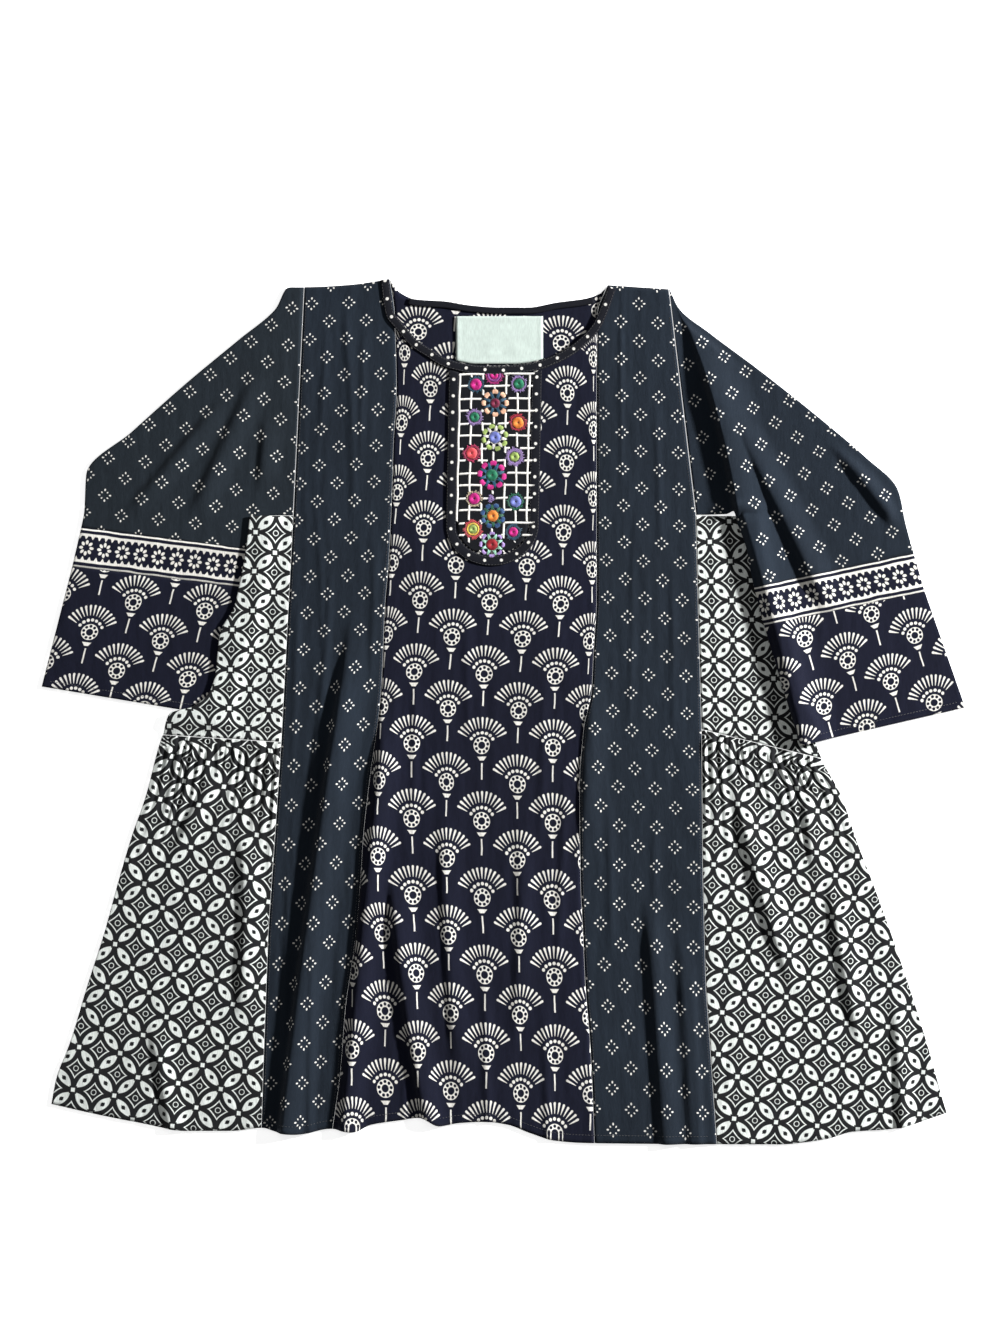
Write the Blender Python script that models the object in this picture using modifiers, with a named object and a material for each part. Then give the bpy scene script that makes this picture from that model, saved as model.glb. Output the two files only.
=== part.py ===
"""Kaftan tunic of patchwork printed cotton, laid flat, in metres with +Z up.

The garment lies on its back at Z = 0 with the shoulders towards +Y. Left and right are as
seen from above, so left is -X. Each cut piece is a wall of cloth of its own, with a gap of
0.3 mm to its neighbour along each seam. All tables below are in millimetres from the middle
of the garment, in plan.
"""

from collections import namedtuple

import bmesh
import bpy
import numpy as np

WALL = 1.5  # thickness of a cloth wall
TRIM_WALL = 1.2  # thickness of the facings, the bib and the label
SEAM = 0.3  # gap between two pieces at a seam and between two layers
TUCK = 4.0  # how far a layer rises where it passes over a flat sleeve or gore
FACING_WIDTH = 9.0
BACK_FACING_WIDTH = 6.5
BORDER_WIDTH = 10.0
GATHERS = 15
GATHER_HEIGHT = 2.2
GATHER_LENGTH = 150.0

# Each seam or edge that runs down the garment: y, x.
LEFT_SIDE_SEAM = [
    (424, -199), (196, -210), (-30, -222), (-120, -228), (-220, -235), (-330, -239),
    (-420, -242),
]
LEFT_CENTRE_SEAM = [
    (433, -114), (398, -109), (320, -107), (268, -110), (206, -112),
    (148, -115), (99, -119), (46, -121), (4, -124), (-70, -134), (-124, -140),
    (-170, -143), (-234, -149), (-297, -158), (-360, -163), (-418, -171),
]
RIGHT_CENTRE_SEAM = [
    (426, 104), (398, 94), (320, 93), (113, 93), (61, 90), (21, 88),
    (-19, 80), (-79, 76), (-169, 77), (-213, 79), (-276, 82), (-339, 87), (-432, 91),
]
RIGHT_SIDE_SEAM = [
    (422, 165), (196, 192), (-30, 198), (-165, 199), (-275, 202), (-330, 206),
    (-432, 213),
]
LEFT_GORE_EDGE = [
    (197, -253), (164, -257), (125, -264), (105, -269), (78, -283), (36, -288),
    (19, -294), (4, -312), (-1, -333), (-26, -341),
]
RIGHT_GORE_EDGE = [
    (197, 246), (164, 250), (125, 257), (78, 276), (19, 287), (-18, 306), (-47, 318),
]
LEFT_SKIRT_EDGE = [
    (-20, -339), (-30, -343), (-86, -358), (-123, -371), (-170, -385), (-221, -399),
    (-274, -416), (-330, -433), (-367, -447), (-393, -452),
]
RIGHT_SKIRT_EDGE = [
    (-38, 314), (-50, 319), (-83, 337), (-132, 354), (-163, 366), (-201, 380),
    (-241, 394), (-295, 412), (-341, 426), (-381, 437), (-401, 443),
]

# Heights of the rows of points on the panels, between their top edge and the hem.
FRONT_LEVELS = [
    320, 280, 238, 196, 156, 116, 78, 40, 5, -30, -75, -120, -165, -220, -275, -330, -375,
]
NECK_LEVELS = [398, 359]
BACK_LEVELS = [340, 250, 196, 110, 40, -30, -75, -120, -165, -220, -275, -330]
GORE_LEVELS = [195.4, 165, 135, 105, 78, 52, 28, 12, 0, -9]
SKIRT_LEVELS = [-37, -47, -58, -75, -97, -120, -165, -220, -275, -330, -375]

# Each edge that runs across the garment: x, y.
LEFT_SHOULDER = [(-213, 425), (-199, 424), (-157, 426), (-113, 432)]
RIGHT_SHOULDER = [(104, 426), (164, 422)]
BACK_NECK = [
    (-114, 432), (-104, 419), (-88, 412), (-58, 410), (-33, 406), (-5, 404), (24, 404),
    (54, 409), (83, 413), (99, 419), (104, 425),
]
FRONT_NECK = [
    (-114, 432), (-109, 398), (-103, 390.5), (-95.5, 381.5), (-86, 371), (-72, 362),
    (-58, 353.2), (-40.5, 348.3), (-23, 345.8), (-5.5, 345.4), (13, 346.6), (30, 349.1),
    (47, 354.8), (62.5, 362.5), (77, 374), (88, 386), (94, 398), (104, 425),
]
HEM = [
    (-452, -392), (-413, -401), (-368, -410), (-313, -419), (-273, -419), (-241, -416),
    (-226, -420), (-204, -422), (-173, -417), (-150, -420), (-133, -413), (-108, -409),
    (-83, -406), (-64, -414), (-43, -411), (-17, -410), (5, -413), (26, -421),
    (53, -429), (79, -431), (156, -432), (274, -432.5), (323, -427), (348, -420),
    (389, -417), (443, -401),
]

# The seam where each skirt is gathered to its gore: x, y.
LEFT_GATHER_LINE = [(-345, -23), (-200, -32)]
RIGHT_GATHER_LINE = [(190, -16), (322, -48)]

# The sleeves' edges from the armhole to the cuff's hem: x, y. An inner edge is the underarm.
LEFT_SLEEVE_OUTER = [
    (-199.6, 424), (-214, 424), (-228, 402), (-264, 372), (-316, 329), (-371, 280),
    (-417, 237), (-419, 200), (-422, 184),
]
LEFT_SLEEVE_INNER = [(-210.6, 196), (-226, 196), (-240, 195), (-243, 178), (-244, 161)]
RIGHT_SLEEVE_OUTER = [
    (165.7, 422), (175, 403), (206, 378), (257, 340), (321, 289), (362, 254), (394, 222),
    (402, 187), (410, 158),
]
RIGHT_SLEEVE_INNER = [
    (192.7, 196.5), (222, 197), (229, 200), (234, 187), (243, 161), (247, 138), (250, 124),
]
# How far along those two edges each line across the sleeve starts and ends.
Station = namedtuple("Station", "inner outer bow")
LEFT_STATIONS = [
    Station(0.00, 0.00, 0), Station(0.10, 0.12, 0), Station(0.20, 0.23, 0),
    Station(0.30, 0.34, 0), Station(0.40, 0.45, 0), Station(0.50, 0.57, 0),
    Station(0.62, 0.70, 0), Station(0.74, 0.82, 0), Station(0.87, 0.91, 0),
    Station(1.00, 1.00, 0),
]
RIGHT_STATIONS = [
    Station(0.00, 0.00, 0), Station(0.16, 0.012, 4), Station(0.31, 0.022, 8),
    Station(0.36, 0.055, 9), Station(0.41, 0.12, 8), Station(0.48, 0.22, 4),
    Station(0.56, 0.34, 0), Station(0.64, 0.47, 0), Station(0.73, 0.61, 0),
    Station(0.82, 0.75, 0), Station(0.91, 0.88, 0), Station(1.00, 1.00, 0),
]

# Places of the points across a sleeve: from its underarm on the front, back to it below.
SLEEVE_FRONT = [0, 0.03, 0.07, 0.12, 0.19, 0.27, 0.36, 0.45, 0.54, 0.63, 0.72, 0.81, 0.90, 1]
SLEEVE_BACK = [0, 0.30, 0.60, 0.76, 0.84, 0.90, 0.95, 1]

# The band and the cuff of each sleeve: the two ends of each line across it.
Cross = namedtuple("Cross", "inner_x inner_y outer_x outer_y")
LEFT_BAND_TOP = Cross(-244, 161, -422, 184)
LEFT_BAND_FOOT = Cross(-251, 123, -431, 145)
LEFT_CUFF_HEM = Cross(-288, -4, -461.5, 25)
RIGHT_BAND_TOP = Cross(250, 124, 410, 158)
RIGHT_BAND_FOOT = Cross(260, 86, 421, 120)
RIGHT_CUFF_HEM = Cross(296, -34, 461.5, 4)

# The folds that stand up from the cloth. A crest runs from its upper to its lower end with
# a bow to the side. It falls away over "steep" to its left and over "gentle" to its right,
# and grows and dies out over "fade_in" and "fade_out".
Fold = namedtuple("Fold", "x0 y0 x1 y1 bow steep gentle height fade_in fade_out")
FOLDS = [
    Fold(-151, 110, -226, -425, -5, 11, 32, 10.5, 170, 1),
    Fold(-117, 20, -163, -425, 0, 11, 26, 6.5, 130, 1),
    Fold(-114, -180, -73, -425, -6, 10, 26, 6.5, 90, 1),
    Fold(-62, -70, -43, -390, -3, 9, 22, 3.5, 90, 90),
    Fold(14, -95, 8, -350, 6, 9, 20, 2.5, 80, 80),
    Fold(92, 40, 82, -170, -4, 10, 26, 4.5, 60, 90),
    Fold(119, -180, 138, -435, 0, 18, 18, 4.0, 90, 1),
    Fold(167, -190, 175, -435, 0, 16, 22, 4.5, 90, 1),
    Fold(230, -62, 300, -300, -7, 10, 26, 5.5, 60, 90),
    Fold(298, -62, 314, -180, 0, 9, 22, 4.0, 45, 50),
    Fold(325, -155, 360, -345, -3, 10, 24, 5.0, 60, 60),
    Fold(391, -270, 399, -425, 0, 9, 18, 4.0, 60, 1),
    Fold(-285, -52, -339, -165, 0, 10, 22, 4.0, 40, 50),
    Fold(-263, -105, -266, -330, 7, 10, 24, 5.0, 60, 80),
    Fold(-352, -300, -330, -425, 0, 10, 22, 4.0, 50, 1),
    Fold(-268, 324, -380, 190, 0, 12, 24, 4.0, 50, 40),
    Fold(-240, 350, -314, 186, 0, 12, 24, 4.0, 50, 40),
    Fold(-234, 305, -243, 215, 0, 9, 20, 3.0, 40, 30),
    Fold(171, 421, 236, 186, 8, 7, 46, 12.0, 110, 22),
    Fold(234, 214, 300, -40, 2, 7, 44, 9.0, 26, 1),
    Fold(204, 335, 330, 88, 4, 13, 30, 8.0, 60, 50),
    Fold(325, 275, 402, 175, 0, 11, 22, 5.0, 40, 30),
]

CHARCOAL_BUTI = (0.026, 0.036, 0.048)
NAVY_FAN = (0.020, 0.018, 0.034)
LATTICE_GREY = (0.34, 0.36, 0.35)
DARK_STRIP = (0.016, 0.016, 0.022)
LABEL_CREAM = (0.74, 0.71, 0.62)
BIB_BLACK = (0.020, 0.022, 0.030)


def curve(rows):
    """A smooth function through (place, value) rows that never overshoots them."""
    place, value = np.array(sorted(rows), float).T
    rise = np.diff(value) / np.diff(place)
    slope = np.zeros(len(place))
    slope[0], slope[-1] = rise[0], rise[-1]
    bends = rise[:-1] * rise[1:]
    same_way = bends > 0
    slope[1:-1][same_way] = 2 * bends[same_way] / (rise[:-1] + rise[1:])[same_way]

    def at(wanted):
        wanted = min(max(wanted, place[0]), place[-1])
        i = min(int(np.searchsorted(place, wanted, "right")) - 1, len(rise) - 1)
        step = place[i + 1] - place[i]
        t = (wanted - place[i]) / step
        ease = t * t * (3 - 2 * t)
        pull = slope[i] * (1 - t) ** 2 * t - slope[i + 1] * (1 - t) * t * t
        return value[i] + (value[i + 1] - value[i]) * ease + step * pull

    return at


def straight(rows):
    """A function through (place, value) rows with straight runs between them."""
    place, value = np.array(sorted(rows), float).T
    return lambda wanted: float(np.interp(wanted, place, value))


def route(rows):
    """A function from 0..1 to the point that far along the (x, y) rows."""
    points = np.array(rows, float)
    far = np.concatenate([[0], np.cumsum(np.hypot(*np.diff(points, axis=0).T))])
    across = curve(list(zip(far / far[-1], points[:, 0])))
    along = curve(list(zip(far / far[-1], points[:, 1])))
    return lambda t: np.array([across(t), along(t)])


left_side, right_side = straight(LEFT_SIDE_SEAM), straight(RIGHT_SIDE_SEAM)
left_centre, right_centre = curve(LEFT_CENTRE_SEAM), curve(RIGHT_CENTRE_SEAM)
left_gore_edge, right_gore_edge = curve(LEFT_GORE_EDGE), curve(RIGHT_GORE_EDGE)
left_skirt_edge, right_skirt_edge = curve(LEFT_SKIRT_EDGE), curve(RIGHT_SKIRT_EDGE)
left_shoulder, right_shoulder = curve(LEFT_SHOULDER), curve(RIGHT_SHOULDER)
back_neck, front_neck, hem = curve(BACK_NECK), curve(FRONT_NECK), curve(HEM)
left_tuck_edge = curve(
    [(y, x) for x, y in LEFT_SLEEVE_INNER[2:]]
    + [(cross.inner_y, cross.inner_x) for cross in (LEFT_BAND_FOOT, LEFT_CUFF_HEM)]
)


def ramp(t):
    t = min(max(t, 0.0), 1.0)
    return t * t * (3 - 2 * t)


def folds(x, y):
    """Height of the tallest fold over a place."""
    tallest = 0.0
    for fold in FOLDS:
        t = (fold.y0 - y) / (fold.y0 - fold.y1)
        if not 0 <= t <= 1:
            continue
        crest = fold.x0 + (fold.x1 - fold.x0) * t + fold.bow * 4 * t * (1 - t)
        away = (x - crest) / (fold.gentle if x > crest else fold.steep)
        if abs(away) < 1:
            fade = ramp((fold.y0 - y) / fold.fade_in) * ramp((y - fold.y1) / fold.fade_out)
            height = fold.height * fade * (0.5 + 0.5 * np.cos(np.pi * away))
            tallest = max(tallest, height)
    return tallest


def left_lift(x, y):
    """How far the left gore is raised where the left sleeve is tucked under it."""
    return TUCK * ramp((left_tuck_edge(y) + 22 - x) / 14) * ramp((y + 22) / 12)


def right_lift(x, y):
    """How far the right sleeve is raised where it lies over the right gore."""
    past_gore = ramp((right_gore_edge(y) + 20 - x) / 14)
    return TUCK * ramp((x - 203) / 14) * past_gore * ramp((214 - y) / 14)


def gathers(u, below):
    """Small uneven gathers under a seam, u across it and "below" down from it."""
    wave = np.sin(np.pi * GATHERS * (u + 0.012 * np.sin(17 * u) + 0.006 * np.sin(41 * u)))
    size = GATHER_HEIGHT * (0.75 + 0.25 * np.sin(9 * u + 1))
    return size * wave * wave * ramp(below / 14) * ramp((GATHER_LENGTH - below) / 130)


def upper(x, y):
    """Underside of the front cloth."""
    return WALL + SEAM + folds(x, y)


def between(first, second, u):
    return first + (second - first) * u


def meeting(left, right, edge, u):
    """Height at which the line u of the way from left to right meets an edge."""
    y = edge(between(left(0), right(0), u))
    for _ in range(60):
        y = edge(between(left(y), right(y), u))
    return y


def panel(left, right, top, foot, levels):
    """Plan of a panel between two seams (x of y), two edges (y of x) and its rows."""

    def place(u, row):
        y_top, y_foot = (meeting(left, right, edge, u) for edge in (top, foot))
        y = [y_top, *levels, y_foot][row]
        if y is None:
            y = (y_top + levels[row]) / 2
        return np.array([between(left(y) + SEAM / 2, right(y) - SEAM / 2, u), y])

    return place


def sleeve(inner_rows, outer_rows, stations):
    """Plan of a sleeve from the underarm (u = 0) to its outer edge, armhole at v = 0."""
    inner, outer = route(inner_rows), route(outer_rows)
    steps = np.linspace(0, 1, len(stations))
    starts = curve(list(zip(steps, [s.inner for s in stations])))
    ends = curve(list(zip(steps, [s.outer for s in stations])))
    bows = curve(list(zip(steps, [s.bow for s in stations])))

    def place(u, v):
        first, last = inner(starts(v)), outer(ends(v))
        along = last - first
        side = np.array([along[1], -along[0]]) / np.hypot(*along)
        return first + along * u + side * bows(v) * 4 * u * (1 - u)

    return place


def strip(top, foot):
    """Plan of a band or cuff between two Cross rows."""

    def place(u, v):
        ends = [between(np.array(first), np.array(second), v) for first, second in zip(top, foot)]
        return np.array([between(ends[0], ends[2], u), between(ends[1], ends[3], u)])

    return place


def finished(name, mesh, colour):
    obj = bpy.data.objects.new(name, mesh)
    garment.objects.link(obj)
    material = bpy.data.materials.new(name)
    material.use_nodes = True
    shader = material.node_tree.nodes["Principled BSDF"]
    shader.inputs["Base Color"].default_value = (*colour, 1)
    shader.inputs["Roughness"].default_value = 0.85
    mesh.materials.append(material)
    mesh.shade_smooth()
    mesh.set_sharp_from_angle(angle=0.9)
    return obj


def cloth_grid(points):
    """A bmesh grid whose vertex (row, column) stands at points[row][column]."""
    rows, columns = len(points) - 1, len(points[0]) - 1
    grid = bmesh.new()
    bmesh.ops.create_grid(grid, x_segments=columns, y_segments=rows, size=1)
    for vertex in grid.verts:
        column = round((vertex.co.x + 1) / 2 * columns)
        row = round((vertex.co.y + 1) / 2 * rows)
        vertex.co = np.array(points[row][column]) / 1000
    return grid


def flat_piece(name, place, across, down, underside, colour, wall=WALL):
    """A piece that lies on what is under it: its grid, pulled straight up to its wall."""
    points = []
    for v in down:
        plan = [place(u, v) for u in across]
        points.append([(x, y, underside(x, y)) for x, y in plan])
    grid = cloth_grid(points)
    top = bmesh.ops.extrude_face_region(grid, geom=grid.faces[:])["geom"]
    raised = [part for part in top if isinstance(part, bmesh.types.BMVert)]
    bmesh.ops.translate(grid, verts=raised, vec=(0, 0, wall / 1000))
    bmesh.ops.recalc_face_normals(grid, faces=grid.faces[:])
    mesh = bpy.data.meshes.new(name)
    grid.to_mesh(mesh)
    return finished(name, mesh, colour)


def wrapped_piece(name, place, front, back, down, lower, raised, colour, closed=False):
    """A piece folded round its outer edge: front cloth, fold, back cloth.

    A closed one is a flat tube that also turns round its inner edge, with its seam 5 mm
    in from there on the underside. lower is the middle of the back wall, and raised is the
    height of the front wall's middle over it.
    """
    points = []
    for v in down:
        length = np.hypot(*(place(1, v) - place(0, v)))

        def at(u, share, v=v):
            x, y = place(u, v)
            low = lower(x, y)
            return (x, y, low + share * raised(x, y, u))

        turn = [raised(*place(u, v), u) / 2 / length for u in (0, 1)]
        edge = WALL / 2 / length
        start, end = SEAM / length, SEAM / length
        row = []
        if closed:
            row = [at(5 / length, 0), at(turn[0], 0), at(edge, 0.5)]
            start, end = turn[0], 5.4 / length
        row += [at(between(start, 1 - turn[1], u), 1) for u in front]
        row += [at(1 - edge, 0.5)]
        row += [at(between(1 - turn[1], end, u), 0) for u in back]
        points.append(row)
    grid = cloth_grid(points)
    mesh = bpy.data.meshes.new(name)
    bmesh.ops.recalc_face_normals(grid, faces=grid.faces[:])
    grid.to_mesh(mesh)
    obj = finished(name, mesh, colour)
    wall = obj.modifiers.new("wall", "SOLIDIFY")
    wall.thickness, wall.offset = WALL / 1000, 0
    return obj


def steps(count):
    return np.linspace(0, 1, count + 1)


def down_seams(rows, above, below, length):
    """Places of rows down a piece, half a seam gap in at each end that is sewn."""
    first = SEAM / 2 / length if above else 0
    last = 1 - SEAM / 2 / length if below else 1
    return between(first, last, np.array(rows))


def make_back():
    def floor(_x, _y):
        return 0.0

    rows = range(len(BACK_LEVELS) + 2)
    for name, left, right, top, columns, colour in (
        ("back_panel_left", left_side, left_centre, left_shoulder, 5, CHARCOAL_BUTI),
        ("centre_back", left_centre, right_centre, back_neck, 14, NAVY_FAN),
        ("back_panel_right", right_centre, right_side, right_shoulder, 5, CHARCOAL_BUTI),
    ):
        place = panel(left, right, top, hem, BACK_LEVELS)
        flat_piece(name, place, steps(columns), rows, floor, colour)


def make_front():
    for name, left, right, top, columns, upper_rows, colour in (
        ("front_panel_left", left_side, left_centre, left_shoulder, 11, NECK_LEVELS,
         CHARCOAL_BUTI),
        ("centre_front", left_centre, right_centre, front_neck, 20, [None], NAVY_FAN),
        ("front_panel_right", right_centre, right_side, right_shoulder, 11, NECK_LEVELS,
         CHARCOAL_BUTI),
    ):
        levels = upper_rows + FRONT_LEVELS
        place = panel(left, right, top, hem, levels)
        flat_piece(name, place, steps(columns), range(len(levels) + 2), upper, colour)


def side_plan(seam, edge, top, foot, levels):
    """Plan of a side piece from its seam (u = 0) to the silhouette, by its rows."""
    first, last = meeting(seam, edge, top, 0), meeting(seam, edge, foot, 0)

    def place(u, row):
        y_top, y_foot = (meeting(seam, edge, end, u) for end in (top, foot))
        y_seam = [first, *levels, last][row]
        y = between(y_top, y_foot, (first - y_seam) / (first - last))
        return np.array([between(seam(y), edge(y), u), y])

    return place


def make_sides():
    """The gores under the arms and the gathered skirts below them, folded front to back."""
    apart = WALL + SEAM

    def flat(_x, _y, _u):
        return apart

    def floor(_x, _y):
        return WALL / 2

    def left_floor(x, y):
        return WALL / 2 + left_lift(x, y)

    for side, seam, gore_edge, skirt_edge, ends, gore_floor in (
        ("left", left_side, left_gore_edge, left_skirt_edge, LEFT_GATHER_LINE, left_floor),
        ("right", right_side, right_gore_edge, right_skirt_edge, RIGHT_GATHER_LINE, floor),
    ):
        line = straight(ends)
        above, below = (lambda x: line(x) + SEAM), (lambda x: line(x) - SEAM)

        def top(_x):
            return GORE_LEVELS[0]

        def gathered(x, y, u):
            near_edge = ramp((1 - u) / 0.06)
            waves = gathers(u, line(x) - y) * ramp(u / 0.03)
            return apart + near_edge * max(folds(x, y), waves)

        place = side_plan(seam, gore_edge, top, above, GORE_LEVELS[1:])
        wrapped_piece("gore_" + side, place, steps(8), steps(8), range(len(GORE_LEVELS) + 1),
                      gore_floor, flat, LATTICE_GREY)
        place = side_plan(seam, skirt_edge, below, hem, SKIRT_LEVELS)
        wrapped_piece("side_skirt_" + side, place, steps(42), steps(5),
                      range(len(SKIRT_LEVELS) + 2), floor, gathered, LATTICE_GREY)


def make_sleeves():
    apart = WALL + SEAM

    def raised(x, y, u):
        return apart + folds(x, y) * ramp((1 - u) / 0.10)

    def left_raised(x, y, u):
        return apart + folds(x, y) * ramp(u / 0.25) * ramp((1 - u) / 0.10)

    def floor(_x, _y):
        return WALL / 2

    def over_gore(x, y):
        return WALL / 2 + right_lift(x, y)

    for side, lower, height, plans in (
        ("left", floor, left_raised, (
            sleeve(LEFT_SLEEVE_INNER, LEFT_SLEEVE_OUTER, LEFT_STATIONS),
            strip(LEFT_BAND_TOP, LEFT_BAND_FOOT), strip(LEFT_BAND_FOOT, LEFT_CUFF_HEM))),
        ("right", over_gore, raised, (
            sleeve(RIGHT_SLEEVE_INNER, RIGHT_SLEEVE_OUTER, RIGHT_STATIONS),
            strip(RIGHT_BAND_TOP, RIGHT_BAND_FOOT), strip(RIGHT_BAND_FOOT, RIGHT_CUFF_HEM))),
    ):
        stations = len(LEFT_STATIONS if side == "left" else RIGHT_STATIONS) - 1
        front, back = SLEEVE_FRONT, SLEEVE_BACK
        wrapped_piece("sleeve_" + side, plans[0], front, back,
                      down_seams(steps(stations), False, True, 240), lower, height,
                      CHARCOAL_BUTI, closed=True)
        wrapped_piece("sleeve_band_" + side, plans[1], front, back,
                      down_seams(steps(1), True, True, 39), lower, height,
                      DARK_STRIP, closed=True)
        wrapped_piece("cuff_" + side, plans[2], front, back,
                      down_seams(steps(4), True, False, 125), lower, height,
                      NAVY_FAN, closed=True)


def make_neck():
    """The dotted facing, the plain facing inside the back neck, and the blank label."""
    neckline, back_line = route(FRONT_NECK), route(BACK_NECK)

    def along(line, width, side):
        def place(u, v):
            step = line(min(u + 0.01, 1)) - line(max(u - 0.01, 0))
            out = np.array([step[1], -step[0]]) / np.hypot(*step)
            return line(u) + out * between(0.4, width, v) * side
        return place

    def on_front(x, y):
        return upper(x, y) + WALL + SEAM

    def on_back(_x, _y):
        return WALL + SEAM

    flat_piece("neck_facing", along(neckline, FACING_WIDTH, 1), steps(40), steps(1),
               on_front, DARK_STRIP, TRIM_WALL)

    def label(u, v):
        x = between(-47.5, 39.5, u)
        return np.array([x, between(395, max(347.5, front_neck(x) + 0.8), v)])

    flat_piece("neck_label", label, steps(10), steps(1), on_back, LABEL_CREAM, TRIM_WALL)
    inside = along(back_line, BACK_FACING_WIDTH, 1)
    flat_piece("back_neck_facing", lambda u, v: inside(between(0.12, 0.92, u), v),
               steps(24), steps(1), on_back, DARK_STRIP, TRIM_WALL)


def bib_outline(inset):
    """Left side, round foot and right side of the bib, 0..1, and that far in from it."""
    foot_y, bend_y, half, lean = 145.5, 186.0, 46.5, 4.0

    def place(t):
        turn = min(max((t - 0.38) / 0.24, 0), 1) * np.pi
        down = min(t, 1 - t, 0.38) / 0.38
        x = -(half - inset) * np.cos(turn)
        y = between(front_neck(-10) - 3, bend_y, down) - (bend_y - foot_y - inset) * np.sin(turn)
        return np.array([x - 8 - lean * (345 - y) / 200, y])

    return place


def make_bib():
    outer, inner = bib_outline(0), bib_outline(BORDER_WIDTH)

    def on_front(x, y):
        return upper(x, y) + WALL + SEAM

    def border(u, v):
        return clear_of_facing(between(outer(u), inner(u), v))

    def clear_of_facing(point):
        x, y = point
        return np.array([x, min(y, front_neck(x) - FACING_WIDTH - 1.6)])

    def patch(u, v):
        side = bib_outline(BORDER_WIDTH + 1)
        left, right = side(between(0, 0.46, v)), side(between(1, 0.54, v))
        return clear_of_facing(between(left, right, u))

    flat_piece("bib_border", border, steps(34), steps(1), on_front, DARK_STRIP, TRIM_WALL)
    flat_piece("bib", patch, steps(6), steps(12), on_front, BIB_BLACK, TRIM_WALL)


for leftover in list(bpy.data.objects):
    bpy.data.objects.remove(leftover, do_unlink=True)
garment = bpy.data.collections.new("kaftan_tunic")
bpy.context.scene.collection.children.link(garment)
make_back()
make_front()
make_sides()
make_sleeves()
make_neck()
make_bib()
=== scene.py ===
import math
from collections import namedtuple

import bpy
import numpy as np
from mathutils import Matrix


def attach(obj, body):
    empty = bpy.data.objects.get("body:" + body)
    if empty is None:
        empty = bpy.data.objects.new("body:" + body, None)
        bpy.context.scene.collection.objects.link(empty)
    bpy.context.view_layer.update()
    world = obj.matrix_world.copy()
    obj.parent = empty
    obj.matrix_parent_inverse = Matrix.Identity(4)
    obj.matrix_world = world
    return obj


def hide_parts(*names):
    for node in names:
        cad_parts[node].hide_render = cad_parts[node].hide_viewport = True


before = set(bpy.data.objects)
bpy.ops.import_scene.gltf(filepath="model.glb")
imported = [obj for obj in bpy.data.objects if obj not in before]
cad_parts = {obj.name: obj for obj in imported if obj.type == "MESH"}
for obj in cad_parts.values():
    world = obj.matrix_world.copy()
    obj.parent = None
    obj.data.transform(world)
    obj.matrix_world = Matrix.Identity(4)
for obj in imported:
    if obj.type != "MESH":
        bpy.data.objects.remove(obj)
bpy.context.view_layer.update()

# The floor and the camera. The garment lies on a plain white floor, which glows a little to
# stay white, and the camera looks straight down at it from 3 m, shoulders at the top.
CAMERA_HEIGHT = 3.0
VIEW_HEIGHT = 1.333
VIEW_CENTRE = (-0.0035, 0.045)
FLOOR_SIZE, FLOOR_GLOW = 9.0, 0.75
FLOOR_WHITE = (0.98, 0.98, 0.98, 1)


def deselect():
    bpy.ops.object.select_all(action="DESELECT")


deselect()
bpy.ops.mesh.primitive_plane_add(size=FLOOR_SIZE, location=(0, 0, -0.0004))
floor = bpy.context.object
floor.name = "floor"
bpy.ops.object.transform_apply(location=True)
floor_paint = bpy.data.materials.new("floor_white")
floor_paint.use_nodes = True
for socket, value in (
    ("Base Color", FLOOR_WHITE), ("Roughness", 0.9), ("Emission Color", FLOOR_WHITE),
    ("Emission Strength", FLOOR_GLOW),
):
    floor_paint.node_tree.nodes["Principled BSDF"].inputs[socket].default_value = value
floor.data.materials.append(floor_paint)

camera = bpy.data.objects.new("camera", bpy.data.cameras.new("camera"))
bpy.context.scene.collection.objects.link(camera)
camera.location = (*VIEW_CENTRE, CAMERA_HEIGHT)
camera.data.lens = 36 * CAMERA_HEIGHT / VIEW_HEIGHT
bpy.context.scene.camera = camera

# Low daylight from the right, a weak lamp overhead and a dim white room around them.
ROOM_LIGHT = 0.16
for name, place, size, power in (
    ("key", (4.2, 1.6, 2.0), 0.35, 640),
    ("fill", (-0.6, 1.6, 2.6), 1.6, 9),
):
    lamp = bpy.data.objects.new(name, bpy.data.lights.new(name, "AREA"))
    bpy.context.scene.collection.objects.link(lamp)
    lamp.data.energy, lamp.data.size = power, size
    lamp.location = place
    aim = -np.array(place)
    lamp.rotation_euler = (
        math.acos(-aim[2] / np.linalg.norm(aim)), 0, math.atan2(aim[1], aim[0]) - math.pi / 2
    )
world = bpy.data.worlds.new("white_room")
bpy.context.scene.world = world
world.use_nodes = True
world.node_tree.nodes["Background"].inputs["Color"].default_value = (1, 1, 1, 1)
world.node_tree.nodes["Background"].inputs["Strength"].default_value = ROOM_LIGHT
bpy.context.scene.view_settings.view_transform = "Standard"


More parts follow.
